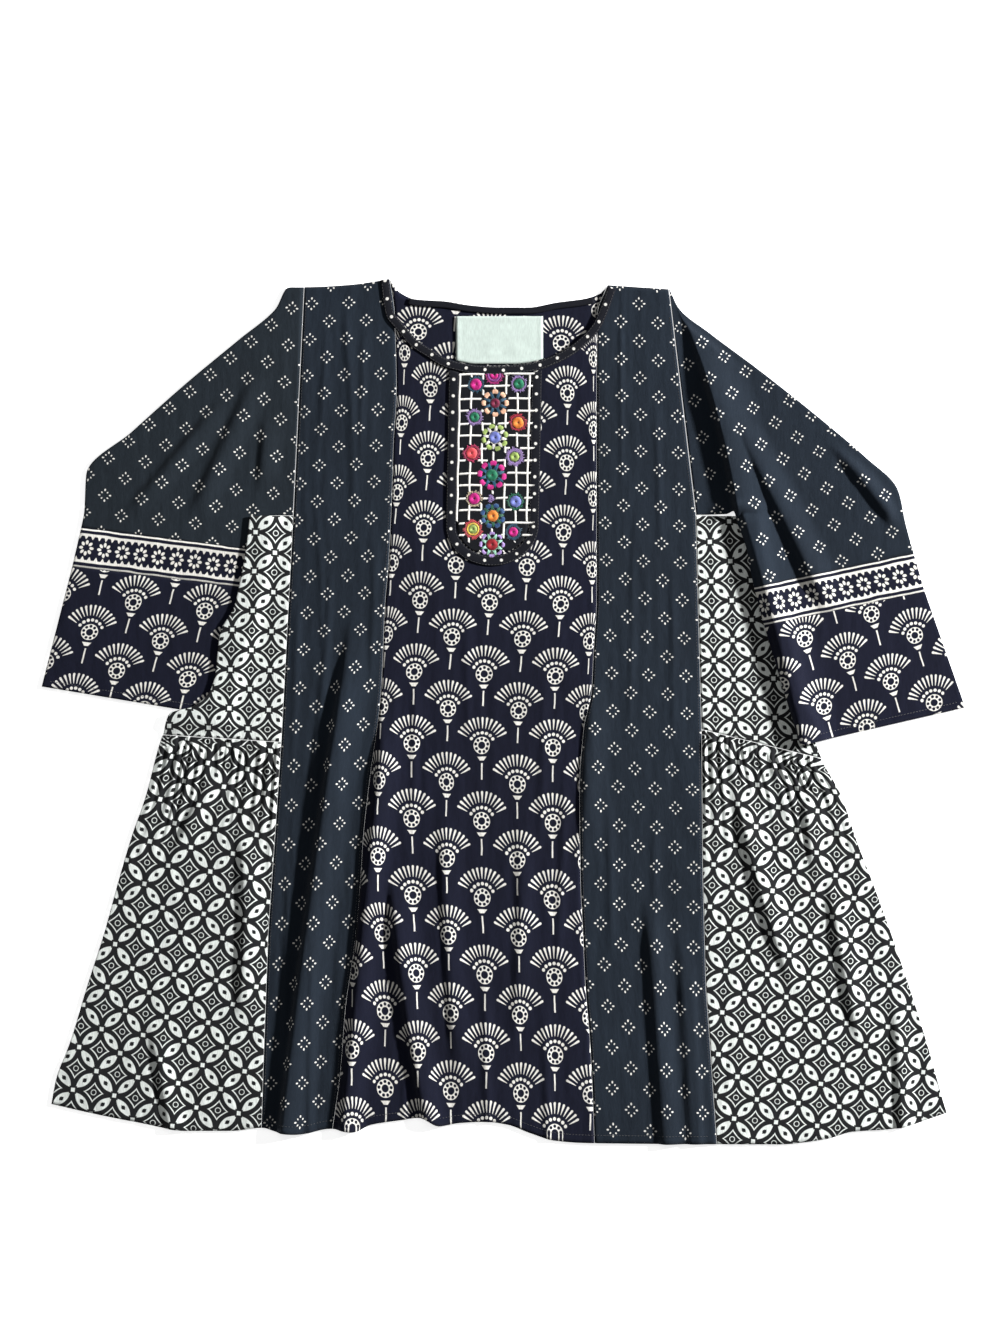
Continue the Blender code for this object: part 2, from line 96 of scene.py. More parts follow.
# The back of the tunic: two long side panels of charcoal cotton and a middle panel of navy
# fan print, seamed together and lying flat on the floor. The middle one shows in the neck.
# All cloth is laid out in millimetres from the middle of the garment.
WALL, SEAM, TUCK = 1.5, 0.3, 4.0
CLOTH = 0.5
BACK_MIDDLE = 0.75
FRONT_MIDDLE = 2.55
LEFT_SIDE_SEAM = [
    (424, -199), (196, -210), (-30, -222), (-120, -228), (-220, -235), (-330, -239),
    (-420, -242),
]
LEFT_CENTRE_SEAM = [
    (433, -114), (398, -109), (320, -107), (268, -110), (206, -112), (148, -115),
    (99, -119), (46, -121), (4, -124), (-70, -134), (-124, -140), (-170, -143),
    (-234, -149), (-297, -158), (-360, -163), (-418, -171),
]
RIGHT_CENTRE_SEAM = [
    (426, 104), (398, 94), (320, 93), (113, 93), (61, 90), (21, 88), (-19, 80),
    (-79, 76), (-169, 77), (-213, 79), (-276, 82), (-339, 87), (-432, 91),
]
RIGHT_SIDE_SEAM = [
    (422, 165), (196, 192), (-30, 198), (-165, 199), (-275, 202), (-330, 206),
    (-432, 213),
]
LEFT_SHOULDER = [(-213, 425), (-199, 424), (-157, 426), (-113, 432)]
RIGHT_SHOULDER = [(104, 426), (164, 422)]
BACK_NECK = [
    (-114, 432), (-104, 419), (-88, 412), (-58, 410), (-33, 406), (-5, 404), (24, 404),
    (54, 409), (83, 413), (99, 419), (104, 425),
]
HEM = [
    (-452, -392), (-413, -401), (-368, -410), (-313, -419), (-273, -419), (-241, -416),
    (-226, -420), (-204, -422), (-173, -417), (-150, -420), (-133, -413), (-108, -409),
    (-83, -406), (-64, -414), (-43, -411), (-17, -410), (5, -413), (26, -421),
    (53, -429), (79, -431), (156, -432), (274, -432.5), (323, -427), (348, -420),
    (389, -417), (443, -401),
]


def curve(rows):
    """A smooth function through (place, value) rows that never overshoots them."""
    place, value = np.array(sorted(rows), float).T
    rise = np.diff(value) / np.diff(place)
    slope = np.zeros(len(place))
    slope[0], slope[-1] = rise[0], rise[-1]
    bends = rise[:-1] * rise[1:]
    same_way = bends > 0
    slope[1:-1][same_way] = 2 * bends[same_way] / (rise[:-1] + rise[1:])[same_way]

    def at(wanted):
        wanted = np.clip(np.asarray(wanted, float), place[0], place[-1])
        i = np.clip(np.searchsorted(place, wanted, "right") - 1, 0, len(rise) - 1)
        step = place[i + 1] - place[i]
        t = (wanted - place[i]) / step
        ease = t * t * (3 - 2 * t)
        pull = slope[i] * (1 - t) ** 2 * t - slope[i + 1] * (1 - t) * t * t
        return value[i] + (value[i + 1] - value[i]) * ease + step * pull

    return at


def straight(rows):
    """A function through (place, value) rows with straight runs between them."""
    place, value = np.array(sorted(rows), float).T
    return lambda wanted: np.interp(wanted, place, value)


left_side, right_side = straight(LEFT_SIDE_SEAM), straight(RIGHT_SIDE_SEAM)
left_centre, right_centre = curve(LEFT_CENTRE_SEAM), curve(RIGHT_CENTRE_SEAM)
left_shoulder, right_shoulder = curve(LEFT_SHOULDER), curve(RIGHT_SHOULDER)
back_neck, hem = curve(BACK_NECK), curve(HEM)


def between(first, second, u):
    return first + (second - first) * u


def meeting(left, right, edge, u):
    """Height at which the line u of the way from left to right meets an edge."""
    y = edge(between(left(0), right(0), u))
    for _ in range(60):
        y = edge(between(left(y), right(y), u))
    return y


def panel(left, right, top, foot, columns, rows):
    """Plan of a panel between two seams and two edges, as grids of x and y."""
    u = np.linspace(0, 1, columns + 1)[None, :]
    v = np.linspace(0, 1, rows + 1)[:, None]
    y = between(meeting(left, right, top, u), meeting(left, right, foot, u), v)
    x = between(left(y) + SEAM / 2, right(y) - SEAM / 2, u)
    return x, y


def ramp(t):
    t = np.clip(t, 0.0, 1.0)
    return t * t * (3 - 2 * t)


def swell(x, y, wide, tall, seed):
    """Soft random swells, -1 to 1, about "wide" across and "tall" along."""
    table = np.random.default_rng(seed).uniform(-1, 1, (64, 64))
    across, along = x / wide + 500, y / tall + 500
    i, j = np.floor(across).astype(int), np.floor(along).astype(int)
    s, t = ramp(across - i), ramp(along - j)
    first = between(table[i % 64, j % 64], table[(i + 1) % 64, j % 64], s)
    second = between(table[i % 64, (j + 1) % 64], table[(i + 1) % 64, (j + 1) % 64], s)
    return between(first, second, t)


def cloth(name, x, y, z, print_x, print_y, thick=CLOTH):
    """A sheet of cloth from grids of its points, with its print laid along the cloth."""
    rows, columns = x.shape
    deselect()
    bpy.ops.mesh.primitive_grid_add(x_subdivisions=columns - 1, y_subdivisions=rows - 1, size=2)
    obj = bpy.context.object
    obj.name = obj.data.name = name + "_cloth"
    mesh = obj.data
    flat = np.empty(len(mesh.vertices) * 3)
    mesh.vertices.foreach_get("co", flat)
    flat = flat.reshape(-1, 3)
    column = np.rint((flat[:, 0] + 1) / 2 * (columns - 1)).astype(int)
    row = np.rint((flat[:, 1] + 1) / 2 * (rows - 1)).astype(int)
    points = np.stack([x, y, z], axis=-1)[row, column] / 1000
    mesh.vertices.foreach_set("co", points.ravel())
    corner = np.empty(len(mesh.loops), int)
    mesh.loops.foreach_get("vertex_index", corner)
    uv = np.stack([print_x, print_y], axis=-1)[row, column][corner] / 1000
    layer = mesh.uv_layers.active or mesh.uv_layers.new()
    layer.name = "print"
    layer.data.foreach_set("uv", uv.ravel())
    mesh.update()
    wall = obj.modifiers.new("wall", "SOLIDIFY")
    wall.thickness, wall.offset = thick / 1000, 0
    bpy.ops.object.modifier_apply(modifier=wall.name)
    bpy.ops.object.mode_set(mode="EDIT")
    bpy.ops.mesh.select_all(action="SELECT")
    bpy.ops.mesh.normals_make_consistent(inside=False)
    bpy.ops.object.mode_set(mode="OBJECT")
    bpy.ops.object.shade_smooth()
    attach(obj, "root")
    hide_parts(name)
    return obj


def along_rows(x, y, z, start_column):
    """How far each point lies along its row of cloth from the starting column."""
    step = np.sqrt(np.diff(x) ** 2 + np.diff(y) ** 2 + np.diff(z) ** 2)
    far = np.concatenate([np.zeros((len(x), 1)), np.cumsum(step, axis=1)], axis=1)
    return far - far[:, start_column:start_column + 1]


class Ink:
    """A number in a material's nodes. Sums of these write out a print as arithmetic."""

    def __init__(self, tree, value):
        self.tree, self.value = tree, value

    def work(self, operation, *others, clamp=False):
        node = self.tree.nodes.new("ShaderNodeMath")
        node.operation, node.use_clamp = operation, clamp
        for socket, item in zip(node.inputs, (self, *others)):
            if isinstance(item, Ink):
                self.tree.links.new(item.value, socket)
            else:
                socket.default_value = item
        return Ink(self.tree, node.outputs[0])

    def __add__(self, other):
        return self.work("ADD", other)

    def __sub__(self, other):
        return self.work("SUBTRACT", other)

    def __mul__(self, other):
        return self.work("MULTIPLY", other)

    def __truediv__(self, other):
        return self.work("DIVIDE", other)

    def low(self, other):
        return self.work("MINIMUM", other)

    def high(self, other):
        return self.work("MAXIMUM", other)

    def size(self):
        return self.work("ABSOLUTE")

    def wrapped(self, pitch):
        """The number brought into -pitch/2..pitch/2."""
        return self.work("WRAP", pitch / 2, -pitch / 2)

    def held(self, pitch, most):
        """The nearest whole number of pitches, at most so many either way."""
        whole = (self / pitch).work("ROUND").high(-most).low(most)
        return whole * pitch


def length(across, along):
    return (across * across + along * along).work("SQRT")


def fresh_material(name, roughness=0.9, sheen=0.04):
    material = bpy.data.materials.new(name)
    material.use_nodes = True
    shader = material.node_tree.nodes["Principled BSDF"]
    shader.inputs["Roughness"].default_value = roughness
    shader.inputs["Specular IOR Level"].default_value = 0.12
    shader.inputs["Sheen Weight"].default_value = sheen
    shader.inputs["Sheen Roughness"].default_value = 0.6
    return material, material.node_tree, shader


def noise(tree, coordinates, scale, detail=2.0):
    node = tree.nodes.new("ShaderNodeTexNoise")
    tree.links.new(coordinates, node.inputs["Vector"])
    node.inputs["Scale"].default_value = scale
    node.inputs["Detail"].default_value = detail
    return Ink(tree, node.outputs["Fac"])


def stretched(tree, coordinates, scale):
    node = tree.nodes.new("ShaderNodeMapping")
    tree.links.new(coordinates, node.inputs["Vector"])
    node.inputs["Scale"].default_value = scale
    return node.outputs["Vector"]


WOBBLE = 2.2


def cloth_places(tree):
    """The print's x and y in mm with a slight hand-printed wobble, and the raw coordinates."""
    uv = tree.nodes.new("ShaderNodeUVMap")
    uv.uv_map = "print"
    mapping = tree.nodes.new("ShaderNodeMapping")
    mapping.vector_type = "POINT"
    tree.links.new(uv.outputs["UV"], mapping.inputs["Vector"])
    mapping.inputs["Scale"].default_value = (1000, 1000, 1000)
    split = tree.nodes.new("ShaderNodeSeparateXYZ")
    tree.links.new(mapping.outputs["Vector"], split.inputs["Vector"])
    raw = uv.outputs["UV"]
    wobble_x = (noise(tree, raw, 45.0) - 0.5) * WOBBLE
    wobble_y = (noise(tree, raw, 38.0) - 0.5) * WOBBLE
    x = Ink(tree, split.outputs["X"]) + wobble_x
    y = Ink(tree, split.outputs["Y"]) + wobble_y
    return x, y, raw


def turned(x, y, start, turn):
    """Coordinates from a starting point, turned by an angle."""
    x, y = x - start[0], y - start[1]
    cosine, sine = math.cos(turn), math.sin(turn)
    return x * cosine + y * sine, y * cosine - x * sine


def printed(distance, soft=0.35, thinner=0.3):
    """1 where ink or bare cloth shows inside a shape, 0 outside, with a soft edge."""
    return ((distance + thinner) / -soft + 0.5).work("ADD", 0.0, clamp=True)


def finish_cloth(tree, shader, shown, raw, ground, light, shade=0.3, crease=0.5):
    """Mixes the two colours of a print and gives the cloth its weave and small creases."""
    patchy = noise(tree, raw, 9.0, 4.0)
    fibres = noise(tree, stretched(tree, raw, (900.0, 160.0, 1.0)), 1.0, 3.0)
    mix = tree.nodes.new("ShaderNodeMix")
    mix.data_type = "RGBA"
    tree.links.new((shown * (fibres * 0.3 + 0.82)).work("ADD", 0.0, clamp=True).value,
                   mix.inputs[0])
    mix.inputs[6].default_value = (*ground, 1)
    mix.inputs[7].default_value = (*light, 1)
    tone = tree.nodes.new("ShaderNodeMix")
    tone.data_type, tone.blend_type = "RGBA", "MULTIPLY"
    tone.inputs[0].default_value = 1.0
    value = (patchy - 0.5) * (2 * shade) + (fibres - 0.5) * 0.5 + 1.0
    grey = tree.nodes.new("ShaderNodeCombineColor")
    for socket in grey.inputs:
        tree.links.new(value.value, socket)
    tree.links.new(mix.outputs[2], tone.inputs[6])
    tree.links.new(grey.outputs[0], tone.inputs[7])
    tree.links.new(tone.outputs[2], shader.inputs["Base Color"])
    split = tree.nodes.new("ShaderNodeSeparateXYZ")
    tree.links.new(raw, split.inputs["Vector"])
    warp = (Ink(tree, split.outputs["X"]) * (6283 / 0.55)).work("SINE")
    weft = (Ink(tree, split.outputs["Y"]) * (6283 / 0.6)).work("SINE")
    weave = (warp * weft) * 0.02
    crumple = noise(tree, stretched(tree, raw, (70.0, 18.0, 1.0)), 1.0, 3.0) * crease
    small = noise(tree, stretched(tree, raw, (160.0, 60.0, 1.0)), 1.0, 2.0) * (crease * 0.35)
    bump = tree.nodes.new("ShaderNodeBump")
    bump.inputs["Strength"].default_value = 1.0
    bump.inputs["Distance"].default_value = 0.0022
    tree.links.new((weave + crumple + small).value, bump.inputs["Height"])
    tree.links.new(bump.outputs["Normal"], shader.inputs["Normal"])


# Sizes of the fan print, from the middle of its disc: radii first, then the petals' reach.
FAN_WIDE, FAN_TALL = 71.6, 69.6
DISC, DISC_HOLE, SEED_RING, SEED, PEARL_RING, PEARL = 8.5, 3.2, 6.1, 1.2, 12.4, 1.9
PETAL_START, PETAL_TIP, PETAL_WIDE = 16.6, 26.6, 1.42
NAVY = (0.0046, 0.0058, 0.0165)
BARE_WHITE = (0.78, 0.76, 0.71)


def fan(x, y):
    """Distance to one fan: disc, pearls, petals, cup and stem."""
    far = length(x, y)
    turn = x.work("ARCTAN2", y)
    seed_turn = turn.wrapped(2 * math.pi / 9)
    seeds = length(far * seed_turn.work("SINE"), far * seed_turn.work("COSINE") - SEED_RING) - SEED
    disc = (far - DISC).high((far - DISC_HOLE) * -1.0).high(seeds * -1.0)
    pearl_turn = turn - turn.held(0.349, 3)
    pearls = length(far * pearl_turn.work("SINE"), far * pearl_turn.work("COSINE") - PEARL_RING) - PEARL
    petal_turn = turn - turn.held(0.178, 6)
    along = far * petal_turn.work("COSINE")
    across = far * petal_turn.work("SINE")
    reach = (along - PETAL_TIP).high(0.0)
    width = ((along - 16.5) * 0.095 + 0.5).low(PETAL_WIDE)
    petals = (length(across, reach) - width).high(along * -1.0 + PETAL_START)
    cup = (x.size() - ((y + 10.4) * 0.75 + 5.2)).high((y + 12.5).size() - 2.1)
    stem = (x.size() - 1.05).high((y + 24.2).size() - 7.8)
    return disc.low(pearls).low(petals).low(cup).low(stem)


def fan_material(name, start, turn=0.0, lean=0.0, ground=NAVY, light=BARE_WHITE):
    material, tree, shader = fresh_material(name)
    x, y, raw = cloth_places(tree)
    x, y = turned(x, y, start, turn)
    x = x - y * lean
    first = fan(x.wrapped(FAN_WIDE), y.wrapped(FAN_TALL))
    second = fan((x + FAN_WIDE / 2).wrapped(FAN_WIDE), (y + FAN_TALL / 2).wrapped(FAN_TALL))
    finish_cloth(tree, shader, printed(first.low(second)), raw, ground, light)
    return material


# Sizes of the small four-petal print.
BUTI_WIDE, BUTI_TALL = 37.2, 37.2
CHARCOAL = (0.0098, 0.0155, 0.0245)
CHARCOAL_GREEN = (0.0120, 0.0175, 0.0240)


def buti(x, y):
    """Distance to the eight petals of one motif."""
    wide, thin = x.size().high(y.size()), x.size().low(y.size())
    along = (wide - 5.3) / 1.5
    square = length(along, thin) - 1.08
    slope_along = ((x.size() + y.size()) * 0.7071 - 3.95) / 1.4
    slope_across = (x.size() - y.size()) * 0.7071
    diagonal = length(slope_along, slope_across) - 0.95
    return square.low(diagonal)


def buti_material(name, start, turn=0.0, ground=CHARCOAL):
    material, tree, shader = fresh_material(name)
    x, y, raw = cloth_places(tree)
    x, y = turned(x, y, start, turn)
    first = buti(x.wrapped(BUTI_WIDE), y.wrapped(BUTI_TALL))
    second = buti((x + BUTI_WIDE / 2).wrapped(BUTI_WIDE), (y + BUTI_TALL / 2).wrapped(BUTI_TALL))
    finish_cloth(tree, shader, printed(first.low(second)), raw, ground, BARE_WHITE)
    return material


def dip(x, left, right, y, deep=0.55, wide=1.6):
    """The small valley along the two seams of a panel."""
    first = np.exp(-((x - left(y)) / wide) ** 2)
    second = np.exp(-((right(y) - x) / wide) ** 2)
    return -deep * (first + second)


# Each cut is the width and length of what shows, in metres, and the share of them it fills.
navy_fan = fan_material("fan_cotton", (0.0, 0.0))
front_buti = buti_material("front_buti", (0.0, 0.0))
back_fan = fan_material("back_fan_cotton", (-85.1, 379.5), -0.076)
charcoal_buti = buti_material("buti_cotton", (138.3, 300.3))
for name, left, right, top, columns, material, slot, cut in (
    ("back_panel_left", left_side, left_centre, left_shoulder, 20, charcoal_buti,
     "buti_cotton", (0.11, 0.86, 0.81)),
    ("centre_back", left_centre, right_centre, back_neck, 60, back_fan,
     "fan_cotton", (0.275, 0.86, 0.76)),
    ("back_panel_right", right_centre, right_side, right_shoulder, 20, charcoal_buti,
     "buti_cotton", (0.135, 0.87, 0.783)),
):
    x, y = panel(left, right, top, hem, columns, 120)
    z = BACK_MIDDLE + np.zeros_like(x)
    back = cloth(name, x, y, z, x, y)
    back.data.materials.append(material)
    math.prod(cut)


# The front of the tunic: the same three panels over the back ones. The cloth lies in long
# soft folds that open towards the hem, the deepest down the left panel.
FRONT_NECK = [
    (-114, 432), (-109, 398), (-103, 390.5), (-95.5, 381.5), (-86, 371), (-72, 362),
    (-58, 353.2), (-40.5, 348.3), (-23, 345.8), (-5.5, 345.4), (13, 346.6), (30, 349.1),
    (47, 354.8), (62.5, 362.5), (77, 374), (88, 386), (94, 398), (104, 425),
]
Fold = namedtuple("Fold", "x0 y0 x1 y1 bow steep gentle height fade_in fade_out")
FOLDS = [
    Fold(-147, 110, -221, -425, -4, 8, 32, 10.0, 130, 1),
    Fold(-116, 20, -161, -425, 0, 8, 26, 7.5, 90, 1),
    Fold(-112, -150, -73, -425, -6, 8, 26, 7.0, 70, 1),
    Fold(-62, -70, -43, -390, -3, 9, 22, 3.5, 90, 90),
    Fold(14, -95, 8, -350, 6, 9, 20, 2.5, 80, 80),
    Fold(92, 40, 82, -170, -4, 10, 26, 4.5, 60, 90),
    Fold(143, -175, 162, -435, 0, 9, 22, 5.5, 70, 1),
    Fold(176, -200, 189, -435, 0, 8, 16, 3.0, 90, 1),
    Fold(230, -62, 300, -300, -7, 10, 26, 5.5, 60, 90),
    Fold(298, -62, 314, -180, 0, 9, 22, 4.0, 45, 50),
    Fold(325, -155, 360, -345, -3, 10, 24, 5.0, 60, 60),
    Fold(391, -270, 399, -425, 0, 9, 18, 4.0, 60, 1),
    Fold(-285, -52, -339, -165, 0, 10, 22, 4.0, 40, 50),
    Fold(-263, -105, -266, -330, 7, 10, 24, 5.0, 60, 80),
    Fold(-352, -300, -330, -425, 0, 10, 22, 4.0, 50, 1),
    Fold(-268, 324, -380, 190, 0, 12, 24, 4.0, 50, 40),
    Fold(-240, 350, -314, 186, 0, 12, 24, 4.0, 50, 40),
    Fold(-234, 305, -243, 215, 0, 9, 20, 3.0, 40, 30),
    Fold(171, 421, 236, 186, 8, 7, 46, 12.0, 110, 22),
    Fold(234, 214, 300, -40, 2, 7, 44, 9.0, 26, 1),
    Fold(204, 335, 330, 88, 4, 13, 30, 8.0, 60, 50),
    Fold(325, 275, 402, 175, 0, 11, 22, 5.0, 40, 30),
]
# Smaller creases, set where the photo shows them.
CREASES = [
    Fold(-178, 405, -186, 250, 2, 4, 6, 0.9, 40, 40),
    Fold(-160, 415, -150, 180, 3, 5, 7, 1.0, 50, 60),
    Fold(-137, 395, -143, 210, -2, 4, 5, 0.8, 40, 60),
    Fold(-190, 230, -180, 20, 3, 5, 6, 1.0, 60, 60),
    Fold(-205, 120, -212, -80, 0, 5, 6, 0.9, 40, 60),
    Fold(-172, 150, -196, -120, 2, 5, 8, 1.4, 60, 60),
    Fold(-214, -150, -222, -400, 0, 5, 6, 1.1, 50, 20),
    Fold(-190, -220, -194, -425, 0, 5, 8, 1.6, 60, 1),
    Fold(-128, 180, -133, 10, 0, 4, 6, 0.9, 40, 40),
    Fold(-88, 40, -92, -140, 0, 5, 8, 1.0, 50, 60),
    Fold(-40, 120, -34, -60, 0, 5, 8, 0.8, 60, 60),
    Fold(40, 60, 34, -160, 2, 5, 8, 1.0, 50, 60),
    Fold(62, -60, 52, -300, 0, 5, 8, 1.6, 60, 80),
    Fold(-20, -250, -16, -415, 0, 5, 9, 1.8, 60, 1),
    Fold(38, -280, 45, -430, 0, 5, 9, 1.6, 60, 1),
    Fold(-98, -300, -100, -415, 0, 4, 6, 1.2, 40, 1),
    Fold(117, 400, 118, 200, 0, 3, 4, 1.0, 30, 80),
    Fold(128, 190, 124, -40, 2, 4, 6, 0.9, 60, 60),
    Fold(150, 340, 158, 140, 0, 4, 6, 0.8, 60, 60),
    Fold(168, 160, 170, -60, 0, 4, 7, 1.0, 60, 60),
    Fold(104, -60, 108, -260, 0, 5, 7, 1.2, 50, 60),
    Fold(150, -80, 152, -240, 0, 5, 7, 0.9, 50, 60),
    Fold(188, -240, 196, -430, 0, 5, 6, 1.2, 50, 1),
]


def ridges(x, y, table):
    """Height of the tallest fold of a table over each place."""
    tallest = np.zeros_like(x)
    for fold in table:
        t = (fold.y0 - y) / (fold.y0 - fold.y1)
        crest = fold.x0 + (fold.x1 - fold.x0) * t + fold.bow * 4 * t * (1 - t)
        away = np.where(x > crest, (x - crest) / fold.gentle, (crest - x) / fold.steep)
        fade = ramp((fold.y0 - y) / fold.fade_in) * ramp((y - fold.y1) / fold.fade_out)
        shape = 0.5 + 0.5 * np.cos(np.pi * np.clip(away, 0, 1))
        inside = (t >= 0) & (t <= 1)
        tallest = np.maximum(tallest, np.where(inside, fold.height * fade * shape, 0))
    return tallest


def folds(x, y):
    return ridges(x, y, FOLDS)


def crumple(x, y, height=0.55):
    """Fine uneven creases that run mostly down the cloth."""
    down = np.abs(swell(x, y, 11, 85, 3)) + 0.6 * np.abs(swell(x, y, 6, 40, 4))
    return height * (down + 0.5 * swell(x, y, 30, 60, 5)) + ridges(x, y, CREASES)


# How each front print lies: the row of motifs, and the height and place of one column there.
Drift = namedtuple("Drift", "row y x")
FAN_DRIFT = [
    Drift(-3, 388, 69), Drift(-2, 318, 66.7), Drift(-1, 248.4, 65), Drift(0, 179.2, 60.9),
    Drift(1, 107.1, 57.7), Drift(2, 35.6, 52), Drift(3, -35.9, 49.8), Drift(4, -111.2, 49.8),
    Drift(5, -188, 50.2), Drift(6, -265.1, 52.8), Drift(7, -343.4, 54.3), Drift(8, -421, 55),
]
LEFT_DRIFT = [
    Drift(0, 426, -172), Drift(2, 354, -176.5), Drift(4, 282, -182), Drift(6, 210, -186),
    Drift(8, 135, -193), Drift(10, 62, -200), Drift(12, -15, -208), Drift(16, -172, -224),
    Drift(20, -332, -236), Drift(23, -450, -242),
]
RIGHT_DRIFT = [
    Drift(0, 427, 116.5), Drift(2, 352.2, 117.6), Drift(5, 242.4, 119), Drift(8, 132.7, 121.7),
    Drift(10, 56.3, 126.2), Drift(12, -18.6, 128.1), Drift(14, -95, 134.5),
    Drift(17, -212.8, 134.1), Drift(20, -336.6, 145.4), Drift(22.5, -440, 147),
]


def drifted(y, far, table, tall, tilt):
    """Print coordinates that put motif rows and one motif column where a table says."""
    row = straight([(d.y, d.row) for d in table])
    column = straight([(d.y, d.x) for d in table])
    away = far - column(y)
    return away, -tall * row(y + tilt * away)


front_neck = curve(FRONT_NECK)
for name, left, right, top, columns, start, drift, material, slot, cut in (
    ("front_panel_left", left_side, left_centre, left_shoulder, 46, 23,
     (LEFT_DRIFT, BUTI_TALL, -0.03), front_buti,
     "buti_cotton", (0.115, 0.87, 0.80)),
    ("centre_front", left_centre, right_centre, front_neck, 84, 48,
     (FAN_DRIFT, FAN_TALL, 0.03), navy_fan,
     "fan_cotton", (0.275, 0.83, 0.753)),
    ("front_panel_right", right_centre, right_side, right_shoulder, 46, 16,
     (RIGHT_DRIFT, BUTI_TALL, 0.04), front_buti,
     "buti_cotton", (0.135, 0.87, 0.79)),
):
    x, y = panel(left, right, top, hem, columns, 200)
    z = FRONT_MIDDLE + folds(x, y) + crumple(x, y) + dip(x, left, right, y)
    far = along_rows(x, y, z, start)
    print_x, print_y = drifted(y, far + x[:, start:start + 1], *drift)
    front = cloth(name, x, y, z, print_x, print_y)
    front.data.materials.append(material)
    math.prod(cut)


# The sides under the arms, of white and black lattice cotton: a narrow upper piece folded
# front to back, and a skirt gathered on to it in small uneven gathers.
LEFT_GORE_EDGE = [
    (197, -253), (164, -257), (125, -264), (105, -269), (78, -283), (36, -288),
    (19, -294), (4, -312), (-1, -333), (-26, -341),
]
RIGHT_GORE_EDGE = [
    (197, 246), (164, 250), (125, 257), (78, 276), (19, 287), (-18, 306), (-47, 318),
]
LEFT_SKIRT_EDGE = [
    (-20, -339), (-30, -343), (-86, -358), (-123, -371), (-170, -385), (-221, -399),
    (-274, -416), (-330, -433), (-367, -447), (-393, -452),
]
RIGHT_SKIRT_EDGE = [
    (-38, 314), (-50, 319), (-83, 337), (-132, 354), (-163, 366), (-201, 380),
    (-241, 394), (-295, 412), (-341, 426), (-381, 437), (-401, 443),
]
LEFT_GATHER_LINE = [(-345, -23), (-200, -32)]
RIGHT_GATHER_LINE = [(190, -16), (322, -48)]
LEFT_TUCK_EDGE = [(195, -240), (178, -243), (161, -244), (123, -251), (-4, -288)]
GORE_TOP = 195.4
GATHERS, GATHER_HEIGHT, GATHER_LENGTH = 15, 2.2, 150.0
LEAF_HALF, LEAF_EYE = 4.85, 1.25
LATTICE_WHITE, LATTICE_BLACK = (0.74, 0.78, 0.75), (0.0065, 0.0070, 0.0085)


def leaf(along, across):
    """Distance to a pointed leaf with a small black square at its middle."""
    blade = across.size() - (along * along * -0.0335 + LEAF_HALF)
    square = along.high(across) - LEAF_EYE
    wedge = (along * 0.72 + across - 1.75) * 0.8
    return blade.high(square * -1.0).high(wedge * -1.0)


def lattice_material(name, turn=0.0, start=(0.0, 0.0), step=27.8):
    """Pointed leaves between small squares, with a ringed star in each gap."""
    material, tree, shader = fresh_material(name, sheen=0.1)
    x, y, raw = cloth_places(tree)
    slant = math.pi / 4 + turn
    cosine, sine = math.cos(slant), math.sin(slant)
    x, y = x - start[0], y - start[1]
    a = (x * cosine + y * sine).wrapped(step).size()
    b = (y * cosine - x * sine).wrapped(step).size()
    half = step / 2
    p, q = a * -1.0 + half, b * -1.0 + half
    leaves = leaf(p, b).low(leaf(q, a))
    knot = (a + b).high((a - b).size()) * 0.7071 - 2.45
    clear = (knot - 1.1) * -1.0
    star_x, star_y = ((p + q) * 0.7071).high(0.01), ((p - q).size() * 0.7071).high(0.01)
    star = (star_x.work("POWER", 0.82) + star_y.work("POWER", 0.82)).work("POWER", 1.22)
    outline = ((star - 9.6) * 0.72).size() - 1.08
    ring = (length(p, q) - 2.55).size() - 0.75
    shown = leaves.high(clear).low(outline).low(ring).low(knot)
    finish_cloth(tree, shader, printed(shown, 0.4, 0.42), raw, LATTICE_BLACK, LATTICE_WHITE,
                 shade=0.10, crease=0.45)
    return material


def wrapped(plan, front, back, lower, raised, closed=False):
    """Points of a piece folded round its outer edge, and of its flat plan.

    plan(u) gives the x and y of all rows at each u from the inner to the outer edge.
    """
    inner, outer = plan(np.array([0.0])), plan(np.array([1.0]))
    far = np.hypot(outer[0] - inner[0], outer[1] - inner[1])
    turn_in = raised(*inner, 0.0) / 2 / far
    turn_out = raised(*outer, 1.0) / 2 / far
    edge = CLOTH / 2 / far
    start, end = 0.3 / far, 0.3 / far
    spread, share = [], []
    if closed:
        spread += [5 / far, turn_in, turn_in * 0.3, edge, turn_in * 0.3]
        share += [0, 0, 0.15, 0.5, 0.85]
        start, end = turn_in, 5.4 / far
    for u in front:
        spread.append(between(start, 1 - turn_out, u))
        share.append(1)
    spread += [1 - turn_out * 0.3, 1 - edge, 1 - turn_out * 0.3]
    share += [0.85, 0.5, 0.15]
    for u in back:
        spread.append(between(1 - turn_out, end, u))
        share.append(0)
    u = np.concatenate(spread, axis=1)
    x, y = plan(u)
    z = lower(x, y) + np.array(share)[None, :] * raised(x, y, u)
    return x, y, z, u


def steps(count):
    return np.linspace(0, 1, count + 1)


def side_piece(seam, edge, top, foot, rows):
    def plan(u):
        v = np.asarray(rows)[:, None]
        u = np.atleast_2d(u)
        y = between(meeting(seam, edge, top, u), meeting(seam, edge, foot, u), v)
        return between(seam(y), edge(y), u), y
    return plan


def gathers(u, below):
    wave = np.sin(np.pi * GATHERS * (u + 0.012 * np.sin(17 * u) + 0.006 * np.sin(41 * u)))
    size = GATHER_HEIGHT * (0.75 + 0.25 * np.sin(9 * u + 1))
    return size * wave * wave * ramp(below / 14) * ramp((GATHER_LENGTH - below) / 130)


